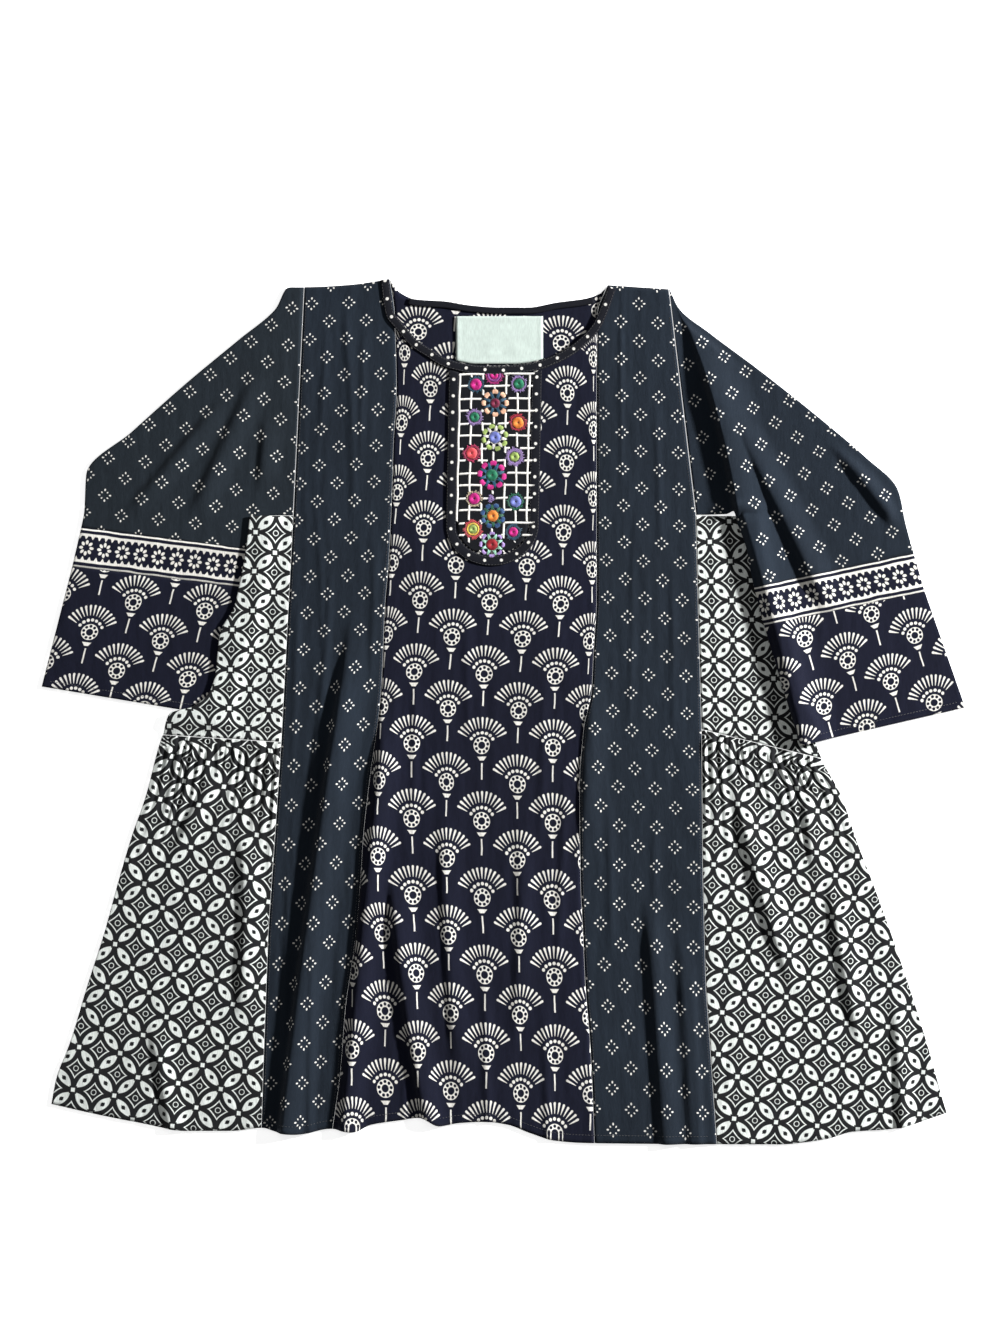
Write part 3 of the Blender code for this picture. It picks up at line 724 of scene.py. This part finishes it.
left_gore_edge, right_gore_edge = curve(LEFT_GORE_EDGE), curve(RIGHT_GORE_EDGE)
left_skirt_edge, right_skirt_edge = curve(LEFT_SKIRT_EDGE), curve(RIGHT_SKIRT_EDGE)
left_tuck_edge = curve(LEFT_TUCK_EDGE)
apart = WALL + SEAM


def left_gore_floor(x, y):
    lift = TUCK * ramp((left_tuck_edge(y) + 22 - x) / 14) * ramp((y + 22) / 12)
    return BACK_MIDDLE + lift


def flat_floor(x, y):
    return BACK_MIDDLE + 0 * x


lattice_left = lattice_material("lattice_left", -0.04, (-247.2, 179.2))
lattice_right = lattice_material("lattice_right", 0.03, (226.7, 150.4), 27.9)
skirt_lattice_left = lattice_material("skirt_lattice_left", -0.14, (-246.4, -274.5), 30.2)
skirt_lattice_right = lattice_material("skirt_lattice_right", -0.085, (221.6, -258.9), 29.6)
for side, sign, seam, gore_edge, skirt_edge, ends, gore_floor, paints, gore_cut, skirt_cut in (
    ("left", -1, left_side, left_gore_edge, left_skirt_edge, LEFT_GATHER_LINE,
     left_gore_floor, (lattice_left, skirt_lattice_left), (0.24, 0.225, 0.557),
     (0.43, 0.40, 0.756)),
    ("right", 1, right_side, right_gore_edge, right_skirt_edge, RIGHT_GATHER_LINE,
     flat_floor, (lattice_right, skirt_lattice_right), (0.24, 0.225, 0.66),
     (0.46, 0.42, 0.756)),
):
    line = straight(ends)

    def gore_raised(x, y, u, line=line):
        pull = np.exp(-((y - line(x)) / 9) ** 2) * 0.8 * np.abs(np.sin(x * 0.9 + np.sin(x)))
        near = ramp((1 - u) / 0.12) * ramp(u / 0.05)
        return apart + near * (pull + 0.5 * np.abs(swell(x, y, 16, 60, 8)))

    def skirt_raised(x, y, u, line=line, sign=sign):
        near = ramp((1 - u) / 0.06) * ramp(u / 0.03)
        below = line(x) - y
        small = np.abs(swell(x, y, 4.2, 22, 9)) * 2.4 * ramp((34 - below) / 30)
        fine = 0.7 * np.abs(swell(x - sign * 0.2 * y, y, 13, 90, 10))
        return apart + near * (np.maximum(folds(x, y), gathers(u, below)) + small + fine)

    plan = side_piece(seam, gore_edge, lambda x: GORE_TOP + 0 * x, lambda x: line(x) + SEAM,
                      steps(90))
    x, y, z, u = wrapped(plan, steps(40), steps(20), gore_floor, gore_raised)
    gore = cloth("gore_" + side, x, y, z, x, y)
    gore.data.materials.append(paints[0])
    math.prod(gore_cut)

    plan = side_piece(seam, skirt_edge, lambda x: line(x) - SEAM, hem,
                      np.linspace(0, 1, 131) ** 1.35)
    x, y, z, u = wrapped(plan, steps(170), steps(40), flat_floor, skirt_raised)
    far = along_rows(x, y, z, 0)
    skirt = cloth("side_skirt_" + side, x, y, z, far * sign + seam(y[:, :1]), y)
    skirt.data.materials.append(paints[1])
    math.prod(skirt_cut)


# The sleeves of charcoal cotton, each with a printed band and a cuff of fan print below it.
# Each is a flat tube. The right one is rolled over itself at the shoulder.
LEFT_SLEEVE_OUTER = [
    (-199.6, 424), (-214, 424), (-228, 402), (-264, 372), (-316, 329), (-371, 280),
    (-417, 237), (-419, 200), (-422, 184),
]
LEFT_SLEEVE_INNER = [(-210.6, 196), (-226, 196), (-240, 195), (-243, 178), (-244, 161)]
RIGHT_SLEEVE_OUTER = [
    (165.7, 422), (175, 403), (206, 378), (257, 340), (321, 289), (362, 254), (394, 222),
    (402, 187), (410, 158),
]
RIGHT_SLEEVE_INNER = [
    (192.7, 196.5), (222, 197), (229, 200), (234, 187), (243, 161), (247, 138), (250, 124),
]
Station = namedtuple("Station", "inner outer bow")
LEFT_STATIONS = [
    Station(0.00, 0.00, 0), Station(0.10, 0.12, 0), Station(0.20, 0.23, 0),
    Station(0.30, 0.34, 0), Station(0.40, 0.45, 0), Station(0.50, 0.57, 0),
    Station(0.62, 0.70, 0), Station(0.74, 0.82, 0), Station(0.87, 0.91, 0),
    Station(1.00, 1.00, 0),
]
RIGHT_STATIONS = [
    Station(0.00, 0.00, 0), Station(0.16, 0.012, 4), Station(0.31, 0.022, 8),
    Station(0.36, 0.055, 9), Station(0.41, 0.12, 8), Station(0.48, 0.22, 4),
    Station(0.56, 0.34, 0), Station(0.64, 0.47, 0), Station(0.73, 0.61, 0),
    Station(0.82, 0.75, 0), Station(0.91, 0.88, 0), Station(1.00, 1.00, 0),
]
Cross = namedtuple("Cross", "inner_x inner_y outer_x outer_y")
LEFT_BAND_TOP = Cross(-244, 161, -422, 184)
LEFT_BAND_FOOT = Cross(-251, 123, -431, 145)
LEFT_CUFF_HEM = Cross(-288, -4, -461.5, 25)
RIGHT_BAND_TOP = Cross(250, 124, 410, 158)
RIGHT_BAND_FOOT = Cross(260, 86, 421, 120)
RIGHT_CUFF_HEM = Cross(296, -34, 461.5, 4)


def route(rows):
    """A function from 0..1 to the point that far along the (x, y) rows."""
    points = np.array(rows, float)
    far = np.concatenate([[0], np.cumsum(np.hypot(*np.diff(points, axis=0).T))])
    across = curve(list(zip(far / far[-1], points[:, 0])))
    along = curve(list(zip(far / far[-1], points[:, 1])))
    return lambda t: (across(t), along(t))


def sleeve(inner_rows, outer_rows, stations, rows):
    """Plan of a sleeve from the underarm (u = 0) to its outer edge, armhole in the first row."""
    v = np.linspace(0, 1, rows + 1)[:, None]
    places = np.linspace(0, 1, len(stations))
    starts, ends, bows = (
        curve(list(zip(places, column)))(v) for column in zip(*stations)
    )
    first, last = route(inner_rows)(starts), route(outer_rows)(ends)
    along_x, along_y = last[0] - first[0], last[1] - first[1]
    far = np.hypot(along_x, along_y)

    def plan(u):
        u = np.atleast_2d(u)
        bend = bows * 4 * u * (1 - u) / far
        return first[0] + along_x * u + along_y * bend, first[1] + along_y * u - along_x * bend

    return plan


def strip(top, foot, rows):
    """Plan of a band or cuff between two Cross rows."""
    v = np.linspace(0, 1, rows + 1)[:, None]
    inner_x, inner_y, outer_x, outer_y = (between(a, b, v) for a, b in zip(top, foot))

    def plan(u):
        u = np.atleast_2d(u)
        return between(inner_x, outer_x, u), between(inner_y, outer_y, u)

    return plan


def right_lift(x, y):
    past_gore = ramp((right_gore_edge(y) + 20 - x) / 14)
    return TUCK * ramp((x - 203) / 14) * past_gore * ramp((214 - y) / 14)


BAND_HALF = 19.0


def band_material(name, pitch, start):
    """A row of daisies between toothed white lines."""
    material, tree, shader = fresh_material(name)
    x, y, raw = cloth_places(tree)
    side = y.size()
    edge = (side - (BAND_HALF - 1.3)).size() - 1.1
    teeth = (x.work("PINGPONG", 3.3) * 1.9 - 3.0 + side * -1.0 + (BAND_HALF - 8.6))
    inner = ((side - (BAND_HALF - 6.4)).size() - 1.5).low(
        (teeth * 0.7).high(side - (BAND_HALF - 5.2)).high(side * -1.0 + (BAND_HALF - 11.0))
    )
    px = (x - start).wrapped(pitch)
    far = length(px, y)
    turn = px.work("ARCTAN2", y).wrapped(math.pi / 4)
    along, across = far * turn.work("COSINE"), far * turn.work("SINE")
    petals = length((along - 5.2) / 1.5, across) - 1.7
    finish_cloth(tree, shader, printed(edge.low(inner).low(petals)), raw, NAVY, BARE_WHITE)
    return material


def right_over(x, y):
    return BACK_MIDDLE + right_lift(x, y)


def left_raised(x, y, u):
    inside = ramp((1 - u) / 0.10) * ramp(u / 0.25)
    return apart + folds(x, y) * inside + 0.5 * crumple(x, y) * ramp((1 - u) / 0.04) * ramp(u / 0.04)


def right_raised(x, y, u):
    return apart + (folds(x, y) + 0.5 * crumple(x, y)) * ramp((1 - u) / 0.10)


sleeve_left_print = buti_material("sleeve_buti_left", (-337.4, 266.1), -0.10, CHARCOAL_GREEN)
sleeve_right_print = buti_material("sleeve_buti_right", (293.7, 179.4), 0.20)
band_print_left = band_material("band_print_left", 18.2, 6.0)
band_print_right = band_material("band_print_right", 18.2, 6.0)
cuff_fan_left = fan_material("cuff_fan_left", (-342.6, 70.6), -0.122, 0.12)
cuff_fan_right = fan_material("cuff_fan_right", (343.8, 51.2), 0.3525, 0.075)
for side, lower, raised, lines, stations, crosses, paints in (
    ("left", flat_floor, left_raised, (LEFT_SLEEVE_INNER, LEFT_SLEEVE_OUTER), LEFT_STATIONS,
     (LEFT_BAND_TOP, LEFT_BAND_FOOT, LEFT_CUFF_HEM),
     (sleeve_left_print, band_print_left, cuff_fan_left)),
    ("right", right_over, right_raised, (RIGHT_SLEEVE_INNER, RIGHT_SLEEVE_OUTER),
     RIGHT_STATIONS, (RIGHT_BAND_TOP, RIGHT_BAND_FOOT, RIGHT_CUFF_HEM),
     (sleeve_right_print, band_print_right, cuff_fan_right)),
):
    for piece, plan, columns, paint, slot, cut in (
        ("sleeve_" + side, sleeve(*lines, stations, 90), 70, paints[0], "buti_cotton",
         (0.42, 0.26, 0.64)),
        ("sleeve_band_" + side, strip(*crosses[:2], 14), 60, paints[1], "border_print",
         (0.36, 0.04, 0.97)),
        ("cuff_" + side, strip(*crosses[1:], 48), 60, paints[2], "fan_cotton",
         (0.36, 0.128, 0.96)),
    ):
        x, y, z, u = wrapped(plan, steps(columns), steps(24), lower, raised, closed=True)
        if piece.startswith("sleeve_band"):
            v = np.linspace(BAND_HALF, -BAND_HALF, len(x))[:, None]
            tube = cloth(piece, x, y, z, along_rows(x, y, z, 5), v + 0 * x)
        else:
            tube = cloth(piece, x, y, z, x, y)
        tube.data.materials.append(paint)
        math.prod(cut)


# The neck: a dark strip with white dots round the front, a plain facing inside the back,
# and a blank pale label sewn to the back below it.
FACING_WIDTH, BACK_FACING_WIDTH = 9.0, 6.5
STRIP_DARK = (0.0060, 0.0068, 0.0110)
LABEL_PALE = (0.56, 0.65, 0.60)
TRIM_MIDDLE, INSIDE_MIDDLE = 4.2, 2.4


def dotted_material(name, pitch, start, size=1.85):
    material, tree, shader = fresh_material(name)
    x, y, raw = cloth_places(tree)
    dot = length((x - start).wrapped(pitch), y) - size
    finish_cloth(tree, shader, printed(dot), raw, STRIP_DARK, BARE_WHITE, crease=0.15)
    return material


def plain_material(name, colour, crease=0.15):
    material, tree, shader = fresh_material(name)
    x, _, raw = cloth_places(tree)
    finish_cloth(tree, shader, x * 0.0, raw, colour, colour, shade=0.08, crease=crease)
    return material


def strip_along(line, first, last, width, pieces, across=4):
    """Plan of a strip beside a line, and how far each point is along and across it."""
    t = np.linspace(first, last, pieces + 1)[None, :]
    middle, ahead, behind = line(t), line(np.minimum(t + 0.01, 1)), line(np.maximum(t - 0.01, 0))
    step_x, step_y = ahead[0] - behind[0], ahead[1] - behind[1]
    far = np.hypot(step_x, step_y)
    v = np.linspace(0.4, width, across + 1)[:, None]
    x, y = middle[0] + step_y / far * v, middle[1] - step_x / far * v
    run = np.concatenate([[0], np.cumsum(np.hypot(np.diff(x[2]), np.diff(y[2])))])
    return x, y, run[None, :] + 0 * x, v - width / 2 + 0 * x


neckline, back_line = route(FRONT_NECK), route(BACK_NECK)
x, y, run, across = strip_along(neckline, 0, 1, FACING_WIDTH, 150, 6)
puffed = 0.5 * np.cos(np.pi * across / FACING_WIDTH)
facing = cloth("neck_facing", x, y, TRIM_MIDDLE + folds(x, y) + puffed, run, across)
facing.data.materials.append(dotted_material("dotted_strip", 18.4, 1.0))

x, y, run, across = strip_along(back_line, 0.12, 0.92, BACK_FACING_WIDTH, 90)
facing = cloth("back_neck_facing", x, y, INSIDE_MIDDLE + 0 * x, run, across)
facing.data.materials.append(plain_material("plain_facing", STRIP_DARK))

u, v = steps(40)[None, :], steps(24)[:, None]
x = between(-47.5, 39.5, u) + 0 * v
y = between(395, np.maximum(347.5, front_neck(x) + 0.8), v)
hem_in = np.minimum(np.minimum(u, 1 - u) * 87, np.minimum(v, 1 - v) * 45.5)
rise = 0.35 * np.exp(-((hem_in - 2.2) / 1.3) ** 2) + 0.25 * swell(x, y, 14, 12, 21)
label = cloth("neck_label", x, y, INSIDE_MIDDLE + rise, x, y)
label.data.materials.append(plain_material("label_cloth", LABEL_PALE, 0.1))


# The bib: a dark patch under the neck with a dotted border round it, covered with a grid of
# laid white cord and seventeen worked flowers.
BORDER_WIDTH = 10.0
BIB_BLACK = (0.0055, 0.0062, 0.0090)


def bib_outline(t, inset):
    """Left side, round foot and right side of the bib, 0..1, and that far in from it."""
    foot_y, bend_y, half, lean = 145.5, 186.0, 46.5, 4.0
    turn = np.clip((t - 0.38) / 0.24, 0, 1) * np.pi
    down = np.minimum(np.minimum(t, 1 - t), 0.38) / 0.38
    x = -(half - inset) * np.cos(turn)
    top = front_neck(-10) - 3
    y = between(top, bend_y, down) - (bend_y - foot_y - inset) * np.sin(turn)
    return x - 8 - lean * (345 - y) / 200, y


def clear_of_facing(x, y):
    return np.minimum(y, front_neck(x) - FACING_WIDTH - 1.6)


t = np.linspace(0, 1, 161)[None, :]
outer, inner = bib_outline(t, 0), bib_outline(t, BORDER_WIDTH)
v = np.linspace(0, 1, 7)[:, None]
x, y = between(outer[0], inner[0], v), between(outer[1], inner[1], v)
y = clear_of_facing(x, y)
run = np.concatenate([[0], np.cumsum(np.hypot(np.diff(x[3]), np.diff(y[3])))])[None, :] + 0 * x
across = (v - 0.5) * BORDER_WIDTH + 0 * x
puffed = 0.45 * np.cos(np.pi * across / BORDER_WIDTH)
border = cloth("bib_border", x, y, TRIM_MIDDLE + folds(x, y) + puffed, run, across)
border.data.materials.append(dotted_material("dotted_border", 16.6, 8.0))

t = np.linspace(0, 0.46, 61)[:, None]
left_line, right_line = bib_outline(t, BORDER_WIDTH + 1), bib_outline(1 - t, BORDER_WIDTH + 1)
u = steps(24)[None, :]
x, y = between(left_line[0], right_line[0], u), between(left_line[1], right_line[1], u)
y = clear_of_facing(x, y)
bib = cloth("bib", x, y, TRIM_MIDDLE + folds(x, y) + 0 * x, x, y)
bib.data.materials.append(plain_material("embroidered_bib", BIB_BLACK))

THREADS = {
    "white": (0.80, 0.78, 0.74), "magenta": (0.60, 0.01, 0.24), "teal": (0.01, 0.11, 0.20),
    "green": (0.01, 0.20, 0.10), "lilac": (0.42, 0.28, 0.62), "maroon": (0.20, 0.01, 0.05),
    "navy_teal": (0.02, 0.09, 0.16), "peach": (0.84, 0.50, 0.34), "orange": (0.85, 0.27, 0.04),
    "crimson": (0.55, 0.02, 0.06), "periwinkle": (0.20, 0.24, 0.62), "lime": (0.36, 0.48, 0.13),
    "coral": (0.80, 0.09, 0.11), "pink_red": (0.66, 0.03, 0.14), "blue": (0.02, 0.08, 0.22),
    "cream": (0.82, 0.66, 0.46), "dark_green": (0.02, 0.14, 0.07), "yellow": (0.80, 0.56, 0.08),
    "mint": (0.40, 0.72, 0.55), "plum": (0.30, 0.05, 0.30), "dark_red": (0.35, 0.01, 0.02),
}
# Flowers from the top down: middle, then each ring's colour and radius; lobes is the number
# of points of the middle ring, and 0 makes it round.
Flower = namedtuple("Flower", "x y heart heart_r star star_r outer outer_r lobes")
FLOWERS = [
    Flower(-9.5, 336.1, "magenta", 4.5, "plum", 7.0, "magenta", 10.0, 0),
    Flower(-27.6, 326.6, "magenta", 6.0, "magenta", 6.0, "teal", 8.5, 0),
    Flower(15.1, 327.3, "green", 5.5, "green", 5.5, "lilac", 9.0, 0),
    Flower(-8.4, 308.0, "maroon", 5.0, "navy_teal", 9.5, "peach", 14.0, 8),
    Flower(-29.0, 294.0, "green", 5.0, "green", 5.0, "lilac", 9.0, 0),
    Flower(14.4, 288.4, "orange", 6.0, "orange", 6.0, "crimson", 9.5, 0),
    Flower(-8.7, 273.7, "periwinkle", 6.0, "white", 9.5, "lime", 14.0, 8),
    Flower(-31.9, 257.9, "coral", 6.0, "coral", 6.0, "pink_red", 9.0, 0),
    Flower(10.9, 254.4, "lime", 5.0, "lime", 5.0, "lilac", 10.0, 0),
    Flower(-11.6, 236.1, "green", 6.0, "teal", 10.0, "magenta", 15.0, 8),
    Flower(-29.5, 212.6, "magenta", 6.0, "magenta", 6.0, "cream", 8.5, 0),
    Flower(11.9, 209.7, "periwinkle", 6.0, "periwinkle", 6.0, "green", 9.0, 0),
    Flower(-12.3, 213.0, "lilac", 2.0, "lilac", 2.0, "lilac", 4.0, 0),
    Flower(-10.8, 195.4, "orange", 6.0, "dark_green", 8.5, "blue", 13.0, 8),
    Flower(-30.6, 182.2, "lime", 4.5, "yellow", 6.5, "coral", 10.0, 0),
    Flower(9.7, 179.3, "magenta", 5.0, "magenta", 5.0, "navy_teal", 9.0, 0),
    Flower(-11.6, 166.8, "dark_red", 6.0, "mint", 10.0, "lilac", 13.0, 8),
]
dice = np.random.default_rng(11)


def thread_mesh(name, stitches):
    """One object of many raised stitches, rows of (x0, y0, x1, y1, width, height, z, colour)."""
    points, faces, colours = [], [], []
    for x0, y0, x1, y1, width, height, z, colour in stitches:
        far = max(math.hypot(x1 - x0, y1 - y0), 0.01)
        side_x, side_y = -(y1 - y0) / far * width / 2, (x1 - x0) / far * width / 2
        base = len(points)
        points.append((x0, y0, z))
        for t in (0.15, 0.5, 0.85):
            bulge = 0.8 + 0.8 * t * (1 - t)
            cx, cy = x0 + (x1 - x0) * t, y0 + (y1 - y0) * t
            points += [
                (cx + side_x * bulge, cy + side_y * bulge, z + height * 0.25),
                (cx, cy, z + height * bulge),
                (cx - side_x * bulge, cy - side_y * bulge, z + height * 0.25),
                (cx, cy, z - 0.1),
            ]
        points.append((x1, y1, z))
        for k in range(4):
            after = (k + 1) % 4
            faces.append((base, base + 1 + k, base + 1 + after))
            faces.append((base + 13, base + 9 + after, base + 9 + k))
            for ring in (1, 5):
                faces.append((base + ring + k, base + ring + 4 + k,
                              base + ring + 4 + after, base + ring + after))
        shade = 1 + dice.uniform(-0.12, 0.12)
        colours += [(*(min(c * shade, 1) for c in colour), 1)] * 14
    mesh = bpy.data.meshes.new(name)
    mesh.from_pydata([tuple(c / 1000 for c in point) for point in points], [], faces)
    layer = mesh.color_attributes.new("thread", "FLOAT_COLOR", "POINT")
    layer.data.foreach_set("color", np.array(colours, np.float32).ravel())
    obj = bpy.data.objects.new(name, mesh)
    bpy.context.scene.collection.objects.link(obj)
    deselect()
    bpy.context.view_layer.objects.active = obj
    obj.select_set(True)
    bpy.ops.object.mode_set(mode="EDIT")
    bpy.ops.mesh.select_all(action="SELECT")
    bpy.ops.mesh.normals_make_consistent(inside=False)
    bpy.ops.object.mode_set(mode="OBJECT")
    bpy.ops.object.shade_smooth()
    obj.data.materials.append(thread_paint)
    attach(obj, "root")
    return obj


thread_paint, tree, shader = fresh_material("thread", 0.5, 0.3)
attribute = tree.nodes.new("ShaderNodeAttribute")
attribute.attribute_name = "thread"
tree.links.new(attribute.outputs["Color"], shader.inputs["Base Color"])

SATIN = 0.62
RAY_HEIGHT, STAR_HEIGHT, HEART_HEIGHT = 0.45, 0.6, 0.8
BIB_TOP = TRIM_MIDDLE + CLOTH / 2
FLOWER_CEILING = 337.5

stitches = []
for flower in FLOWERS:
    start = dice.uniform(0, 6.28)
    rings = [
        (flower.star_r * (0.95 if flower.lobes else 1), flower.outer_r, flower.outer, RAY_HEIGHT),
        (flower.heart_r, flower.star_r, flower.star, STAR_HEIGHT),
        (0.0, flower.heart_r, flower.heart, HEART_HEIGHT),
    ]
    for inner_r, outer_r, colour, height in rings:
        if outer_r <= inner_r:
            continue
        rays = height == RAY_HEIGHT
        open_ring = rays and not flower.lobes
        count = int(2 * math.pi * outer_r / (SATIN * (2.3 if open_ring else 1)))
        for k in range(count):
            turn = 2 * math.pi * k / count
            angle = start + turn
            wave = math.cos(flower.lobes * turn)
            reach = outer_r + dice.uniform(-0.35, 0.35)
            if flower.lobes and rays:
                if wave > 0.35:
                    continue
                reach -= 1.4 * max(wave + 0.6, 0)
            elif flower.lobes and inner_r:
                reach = inner_r + 0.6 + (flower.outer_r * 0.86 - inner_r) * max(wave, 0)
            elif rays:
                reach = outer_r + dice.uniform(-1.8, 1.0)
            begin = inner_r + dice.uniform(-0.2, 0.4) if inner_r else dice.uniform(0.2, 1.6)
            if reach - begin < 0.5:
                continue
            cosine, sine = math.cos(angle), math.sin(angle)
            if flower.y + reach * sine > FLOWER_CEILING:
                continue
            stitches.append((
                flower.x + begin * cosine, flower.y + begin * sine,
                flower.x + reach * cosine, flower.y + reach * sine,
                SATIN * (1.0 if open_ring else 1.25), height, BIB_TOP, THREADS[colour],
            ))
flowers = thread_mesh("bib_flowers", stitches)
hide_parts("bib")


def inside_flower(x, y, spare=0.2):
    return any(
        math.hypot(x - f.x, y - f.y) < f.outer_r + spare for f in FLOWERS
    )


def cord(x0, y0, x1, y1, width=2.2, pitch=1.05):
    """A laid cord: short slanted stitches side by side along a line."""
    rows = []
    far = math.hypot(x1 - x0, y1 - y0)
    ux, uy = (x1 - x0) / far, (y1 - y0) / far
    for k in range(int(far / pitch)):
        s = (k + 0.5) * pitch
        wave = 0.25 * math.sin(s / 6.0 + x0)
        cx, cy = x0 + ux * s - uy * wave, y0 + uy * s + ux * wave
        if inside_flower(cx, cy):
            continue
        sx, sy = -uy * width / 2 + ux * 0.8, ux * width / 2 + uy * 0.8
        rows.append((cx - sx, cy - sy, cx + sx, cy + sy, pitch * 1.25, 0.55, BIB_TOP,
                     THREADS["white"]))
    return rows


stitches = []
for column in range(7):
    top_x = -44.1 + 11.6 * column
    from_middle = abs(top_x + 9.5)
    foot = 186 - math.sqrt(29.0 ** 2 - from_middle ** 2) if from_middle < 29 else 190
    stitches += cord(top_x + 0.6, 336, top_x - 2.6, foot)
for row in range(14):
    level = 337.3 - 12.4 * row
    if level > 150:
        stitches += cord(-44.5, level - 0.8 + 0.9 * (row % 2), 31.5 - 2 * (row % 3), level + 0.4)
grid = thread_mesh("bib_grid", stitches)
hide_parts("bib")


# The stitching: lines of running stitch beside the seams and along the hems, the neck and
# the bib, a hair above the cloth.
STITCH, STITCH_PITCH = 2.1, 3.1
STITCH_DARK = (0.004, 0.004, 0.007)


def running(x, y, z):
    """Running stitches along a line of points."""
    far = np.concatenate([[0], np.cumsum(np.hypot(np.diff(x), np.diff(y)))])
    starts = np.arange(1.0, far[-1] - STITCH, STITCH_PITCH)
    ends = starts + STITCH
    first = (np.interp(starts, far, x), np.interp(starts, far, y))
    last = (np.interp(ends, far, x), np.interp(ends, far, y))
    height = np.interp(starts + STITCH / 2, far, z)
    return [
        (*points, 0.55, 0.3, level, STITCH_DARK)
        for *points, level in zip(*first, *last, height)
    ]


def front_top(x, y):
    return FRONT_MIDDLE + folds(x, y) + crumple(x, y) + CLOTH / 2


stitches = []
for seam, aside in ((left_side, 2.4), (left_centre, -2.4), (right_centre, 2.4), (right_side, -2.4)):
    y = np.linspace(415 if aside > 0 else 395, -405, 400)
    y = y[y < 330] if seam is left_centre or seam is right_centre else y
    x = seam(y) + aside
    stitches += running(x, y, front_top(x, y) - 0.1)
x = np.linspace(-240, 205, 200)
stitches += running(x, hem(x) + 8, front_top(x, hem(x) + 8))
for inset in (0.9, BORDER_WIDTH - 0.9):
    x, y = bib_outline(np.linspace(0, 1, 160), inset)
    y = clear_of_facing(x, y)
    stitches += running(x, y, TRIM_MIDDLE + folds(x, y) + 0.4)
for top, foot in ((LEFT_CUFF_HEM, LEFT_BAND_FOOT), (RIGHT_CUFF_HEM, RIGHT_BAND_FOOT)):
    u = np.linspace(0.03, 0.97, 60)
    up = 7 / math.hypot(foot.inner_x - top.inner_x, foot.inner_y - top.inner_y)
    x0, y0 = between(top.inner_x, foot.inner_x, up), between(top.inner_y, foot.inner_y, up)
    x1, y1 = between(top.outer_x, foot.outer_x, up), between(top.outer_y, foot.outer_y, up)
    x, y = between(x0, x1, u), between(y0, y1, u)
    lift = right_lift(x, y) if top is RIGHT_CUFF_HEM else 0 * x
    stitches += running(x, y, FRONT_MIDDLE + lift + folds(x, y) + 0.5 * crumple(x, y) + CLOTH / 2)
x, y, run, across = strip_along(neckline, 0.01, 0.99, FACING_WIDTH, 200, 8)
for row in (1, 7):
    stitches += running(x[row], y[row], TRIM_MIDDLE + folds(x[row], y[row]) + 0.45)
topstitch = thread_mesh("topstitching", stitches)
